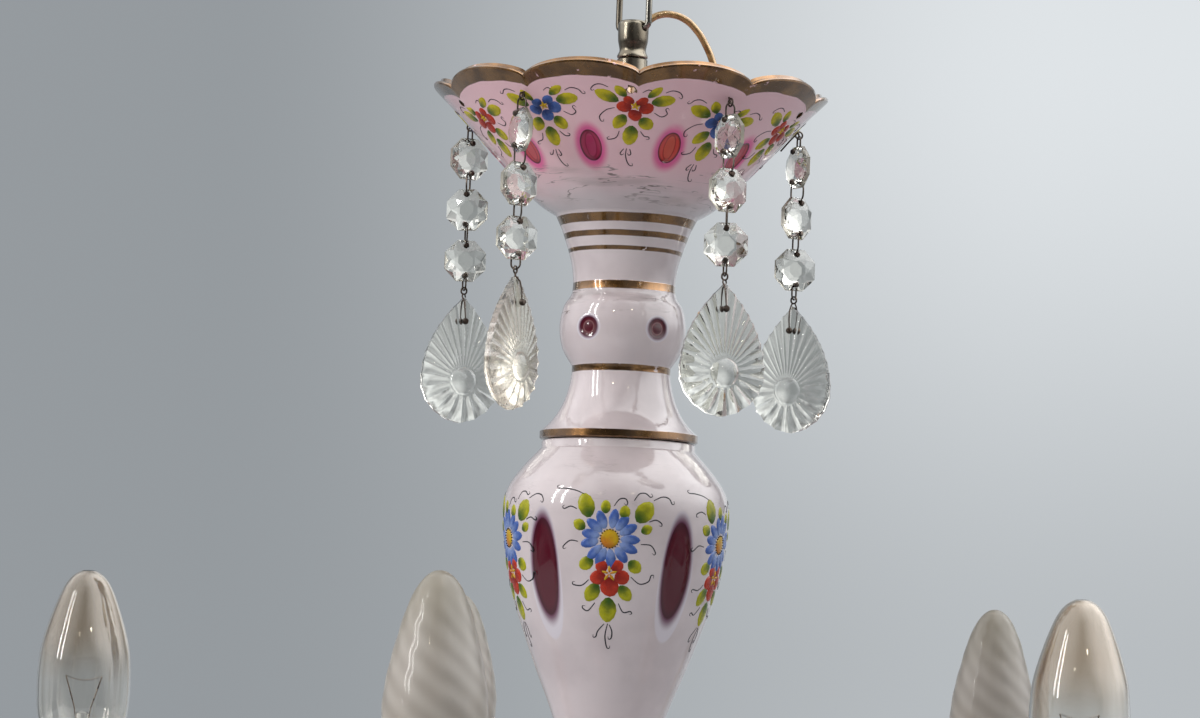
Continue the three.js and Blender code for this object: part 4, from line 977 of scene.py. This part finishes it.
# Strands: on five wire pins in the rim hang chains of three cut octagon beads and a pear-shaped drop with
# flutes round a button, linked with dark iron wire.
iron_wire = nickel_finish("iron_wire", (0.12, 0.10, 0.085), (0.05, 0.035, 0.028), 0.5)
strand_angles, pin_place, wire_radius = [-114, -36, 32.5, 105.5, 177], (68.079, 122.467), 0.34
bead_hole_radius, bead_hole_reach = 1.3, 5.9
bead_turns = [[147, 104, 124, 134], [-26, 77, 64, 94], [-88, 3, -32, -18], [-169, -59, -88, -131],
              [10, -20, 15, 0]]
strand_levels, bead_centres = [0, -25.874, -45.874, -63.7], [12.2, 6.326, 6.326]


def octagon(centre):
    """A cut octagon facing along Y: each side has a table, star facets and kites down to the girdle."""
    points, faces = [], []
    girdle, table, star = 8 / cos(pi / 8), 3.4, 5.6
    for side in (-1, 1):
        for radius, depth, offset in ((table, 3.2, 0.5), (star, 2.35, 0.0), (girdle, 0.8, 0.5)):
            for k in range(8):
                angle = radians(45 * (k + offset))
                points.append((radius * sin(angle), depth * side, radius * cos(angle) - centre))
    for base, flip in ((0, 1), (24, -1)):
        skin = [list(range(base, base + 8))]
        for a in range(base, base + 8):
            b = base + (a - base + 1) % 8
            skin += [[a, b + 8, b], [a, a + 16, b + 8], [a, a + 8, a + 16], [a + 16, b + 16, b + 8]]
        faces += [face[::flip] for face in skin]
    for k in range(8):
        nxt = (k + 1) % 8
        faces.append([16 + k, 40 + k, 40 + nxt, 16 + nxt])
    return points, faces


def ground_finish():
    material, where = start_finish("ground_edge")
    return shaded(material, Base_Color=mix(grain(where, 700, 3), (0.46, 0.43, 0.35), (0.62, 0.59, 0.50)),
                  Roughness=0.4, Transmission_Weight=0.6, IOR=1.5)


ground_edge = ground_finish()


def wire_loop(half, top, bottom, turn_deg):
    """A closed wire link standing in the YZ plane, then turned round the strand."""
    round_path = arc((0, top - half), half, 0, 180, 12) + arc((0, bottom + half), half, 180, 360, 12)
    return swept([about_z(turn_deg) @ Vector((0, y, z)) for y, z in round_path], wire_radius, 10, True)


def cut_bead(centre):
    mesh = shape("cut_octagon", *octagon(centre), crystal, 1)
    mesh.materials.append(ground_edge)
    for face in list(mesh.polygons)[-8:]:
        face.material_index = 1
    made = drilled(mesh, *[bore((0, -6, side * bead_hole_reach - centre), (0, 12, 0), bead_hole_radius, 16)
                           for side in (-1, 1)])
    made.set_sharp_from_angle(angle=radians(1))
    return made


pin_head = turned([(0, -1.3), (0.9, -1.2), (1.25, -0.6), (1.25, 0.2), (0.8, 0.75), (0, 0.9)], 20)
head_faces = [face[::-1] for face in pin_head[1]]


def bead_pins(centre):
    """The dull heads of the wire pins in a bead's two holes, on both its faces."""
    heads = []
    for height in (bead_hole_reach - centre, -bead_hole_reach - centre):
        for side in (-1, 1):
            head = [(0.85 * x, 0.8 * z + side * 2.3, 0.85 * y + height) for x, y, z in pin_head[0]]
            heads.append((head, head_faces))
    return shape("bead_pins", *together(*heads), iron_wire)


first_bead, next_bead = cut_bead(12.2), cut_bead(6.326)
first_pins, next_pins = bead_pins(12.2), bead_pins(6.326)


def pear_edge(angle, above=33, half=16):
    """How far the drop's outline lies from its belly's centre, at an angle from its top."""
    across, up, near, far = abs(sin(angle)), cos(angle), 0.0, float(above)
    for _ in range(24):
        reach = (near + far) / 2
        share = min(1.0, abs(reach * up) / (above if up > 0 else half))
        width = half * (1 - share ** 2.1) if up > 0 else half * (1 - share ** 2) ** 0.6
        near, far = (reach, far) if reach * across < width and share < 1 else (near, reach)
    return near


def fan_angles(count):
    """The angles from the drop's top of the points round it, which crowd together towards the top."""
    crowding = []
    for degree in range(360):
        up = cos(radians(degree))
        crowding.append(1 + (1.5 if up > 0 else -0.15) * up * up)
    angles, turned_by, step = [], 0.0, sum(crowding) / count
    for degree, weight in enumerate(crowding):
        while len(angles) < count and len(angles) * step <= turned_by + weight:
            angles.append(radians(degree + (len(angles) * step - turned_by) / weight))
        turned_by += weight
    return angles


def fluted_drop(material, flutes=26, per_flute=8):
    """The pear-shaped drop: in front, hollow flutes fan out from a round button. The back is smooth."""
    middle, count = -35.7, flutes * per_flute
    angles = fan_angles(count)
    reaches = [pear_edge(angle) for angle in angles]
    shares = [0.05, 0.12, 0.19, 0.26, 0.31, 0.335, 0.355, 0.40, 0.46, 0.54, 0.63, 0.72, 0.81, 0.89, 0.95,
              0.985, 1.0]
    points = []
    for side, share in [(-1, share) for share in shares] + [(1, share) for share in shares[::-1]]:
        fade = min(max((share - 0.355) / 0.06, 0), 1)
        for k, (angle, reach) in enumerate(zip(angles, reaches)):
            hollow = abs(sin(pi * k / per_flute))
            if share < 0.34:
                out = 5.2 * share / 0.325
                lift = 3.15 + 2.75 * sqrt(max(0, 1 - (out / 5.55) ** 2)) if side < 0 else 3.9
            else:
                lens = 1.5 + 2.3 * (1 - ((share - 0.3) / 0.7) ** 1.7)
                shallower = 1 - (0.35 if cos(angle) > 0 else 1.0) * cos(angle)
                lift = lens - (0.22 + 0.42 * share) * shallower * fade * hollow * (1 if side < 0 else 0)
                out = 5.6 + (reach - 5.6) * (share - 0.34) / 0.66 - 0.28 * hollow * fade * share ** 6
            points.append((out * sin(angle), side * lift, middle + out * cos(angle)))
    faces, front, last = banded(2 * len(shares), count), len(points), len(points) - count
    points += [(0, -5.95, middle), (0, 3.95, middle)]
    for k in range(count):
        nxt = (k + 1) % count
        faces += [[front, nxt, k], [front + 1, last + k, last + nxt]]
    return shape("fluted_drop", points, faces, material, 26)


new_drop = fluted_drop(crystal)
yellowed_drop = fluted_drop(crystal_finish("yellowed_crystal", (0.78, 0.725, 0.61), 0.3))
drop_pin = shape("wire_pin_head", [(x, z, y) for x, y, z in pin_head[0]], head_faces, iron_wire)


def wire(name, form, where, body="chandelier"):
    show(name, shape("wire", *form, iron_wire), None, where, body)


pin_shank = [(0, 0, 0.3), (0, 0.4, 1.5), (0, 1.4, 2.5), (0, 3.6, 4.7), (0, 5.2, 6.3)]
pin_tail = [(0, 0.3, 1.5), (0.4, 3.6, -2.1), (0.5, 7.1, -6.3)]
for number, (angle, turns) in enumerate(zip(strand_angles, bead_turns), 1):
    strand = column @ Matrix.Translation(Vector(from_axis(radians(angle), *pin_place)) * MM) @ about_z(angle)
    wire(f"pin_ring_{number}", wire_loop(1.4, 1.7, -1.1, 0), strand)
    wire(f"pin_shank_{number}", swept(pin_shank, 0.4, 10), strand)
    if number in (1, 4):
        wire(f"pin_tail_{number}", swept(pin_tail, wire_radius, 8), strand)
    levels = [strand @ Matrix.Translation((0, 0, level * MM)) @ about_z(turn)
              for level, turn in zip(strand_levels, turns)]
    for bead, (level, centre) in enumerate(zip(levels, bead_centres), 1):
        body, label = f"strand_{number}_bead_{bead}", f"{number}_{bead}"
        show(f"cut_octagon_{label}", first_bead if bead == 1 else next_bead, body, level, body)
        show(f"bead_pins_{label}", first_pins if bead == 1 else next_pins, None, level, body)
        half, reach = (2.0, 11.5) if bead == 3 else (3.1, 13.674)
        link = wire_loop(half, -centre - 5.4, -centre - reach, turns[bead] - turns[bead - 1])
        wire(f"wire_link_{label}_0", link, level, body)
        if bead == 1:
            wire(f"wire_link_{label}_1", wire_loop(1.9, 0, -centre + 6, 90 - turns[0]), level, body)
    body, level = f"strand_{number}_drop", levels[3]
    show(f"fluted_drop_{number}", yellowed_drop if number == 2 else new_drop, body, level, body)
    wire(f"drop_ring_{number}", wire_loop(1.1, 1.1, -1.5, 90), level, body)
    for side in (-1, 1):
        leg = [(side * 0.4, 0, -1.2), (side * 0.8, side * 0.5, -2.4), (side * 0.5, side * 2.6, -4.6),
               (side * 0.3, side * 3.4, -8), (0, side * 3.5, -11.4)]
        wire(f"drop_leg_{number}_{side + 1}", swept(leg, 0.3, 8), level, body)
        show(f"drop_pin_{number}_{side + 1}", drop_pin, None,
             level @ Matrix.Translation((0, side * 3.4 * MM, -12.3 * MM)), body)


# Studio: a pale floor well below and a grey backdrop, lighter to the upper right. Strips and small lamps in
# front make the glints, and two soft patches of the world, high on the left and right, the broad light.
# The world that the glass mirrors is darker on the camera's side.
def studio_light(name, place, size, power, colour=(1, 1, 1), kind="AREA"):
    lamp = bpy.data.lights.new(name, kind)
    lamp.energy, lamp.color = power, colour
    if kind == "AREA":
        lamp.shape, lamp.size, lamp.size_y = "RECTANGLE", size[0], size[1]
    else:
        lamp.shadow_soft_size = size[0]
    made = add_object(name, lamp)
    made.location = place
    made.rotation_euler = (Vector((0, 0, -0.35)) - Vector(place)).to_track_quat("-Z", "Y").to_euler()


studio_light("key_strip_near", (-1.86, -1.22, 0.549), (0.11, 1.4), 12, (1, 0.99, 0.97))
studio_light("key_strip_far", (-2.06, -0.84, 0.549), (0.11, 1.4), 12, (1, 0.99, 0.97))
studio_light("warm_lamp_left", (-0.55, -1.7, 0.62), (0.03,), 2.6, (1, 0.86, 0.64), "POINT")
studio_light("warm_lamp_right", (0.5, -1.6, 0.70), (0.03,), 2.6, (1, 0.86, 0.64), "POINT")

floor_finish, where = start_finish("studio_floor")
shaded(floor_finish, Base_Color=mix(grain(where, 3, 4), (0.42, 0.44, 0.46), (0.50, 0.52, 0.54)),
       Roughness=0.7)
floor_reach, floor_level = 2600, -1000
floor_corners = [(x * floor_reach, y * floor_reach, floor_level)
                 for x, y in ((-1, -1), (1, -1), (1, 1), (-1, 1))]
add_object("studio_floor", shape("studio_floor", floor_corners, [[0, 1, 2, 3]], floor_finish))

world = bpy.data.worlds.new("studio")
bpy.context.scene.world = world
world.use_nodes = True
sky = world.node_tree
towards = Value(put(sky, "TexCoord"), "Generated")
rightward, ahead, upward = axes(towards)
brighter = ramp(rightward, -0.116, 0.12) * ramp(upward, -0.003, 0.173, 0.40, 1.0)
backdrop = mix(brighter, (0.302, 0.325, 0.345), (0.74, 0.775, 0.80))
dim_front = ramp(ahead, -0.5, 0.5, 0.3, 1.0)
patchy = ramp(grain(towards, 2.6, 2), 0.40, 0.60, 0.4, 1.35)
patchy = ramp(ahead, 0.97, 0.86).scaled(patchy - 1.0, 1.0)
mirrored = mix(1.0, backdrop, dim_front * patchy, "MULTIPLY")
lit = (0.335, 0.345, 0.355)
for side, strength, shine in ((-1, 0.80, 2.0), (1, 1.20, 4.1)):
    patch_place = {0: towards, 1: (0.66 * side, -0.06, 0.75)}
    facing = Value(put(sky, "VectorMath", patch_place, operation="DOT_PRODUCT"), "Value")
    lit = mix(1.0, lit, ramp(facing, 0.8, 0.99, 0.0, strength), "ADD")
    mirrored = mix(1.0, mirrored, ramp(facing, 0.5, 0.97, 0.0, shine), "ADD")
rays = put(sky, "LightPath")
seen_in_glass = Value(rays, "Is Glossy Ray").most(Value(rays, "Is Transmission Ray"))
shown = mix(Value(rays, "Is Camera Ray"), mix(seen_in_glass, lit, mirrored), backdrop)
plug(sky.nodes["Background"].inputs["Color"], shown)
bpy.context.scene.view_settings.view_transform = "Standard"
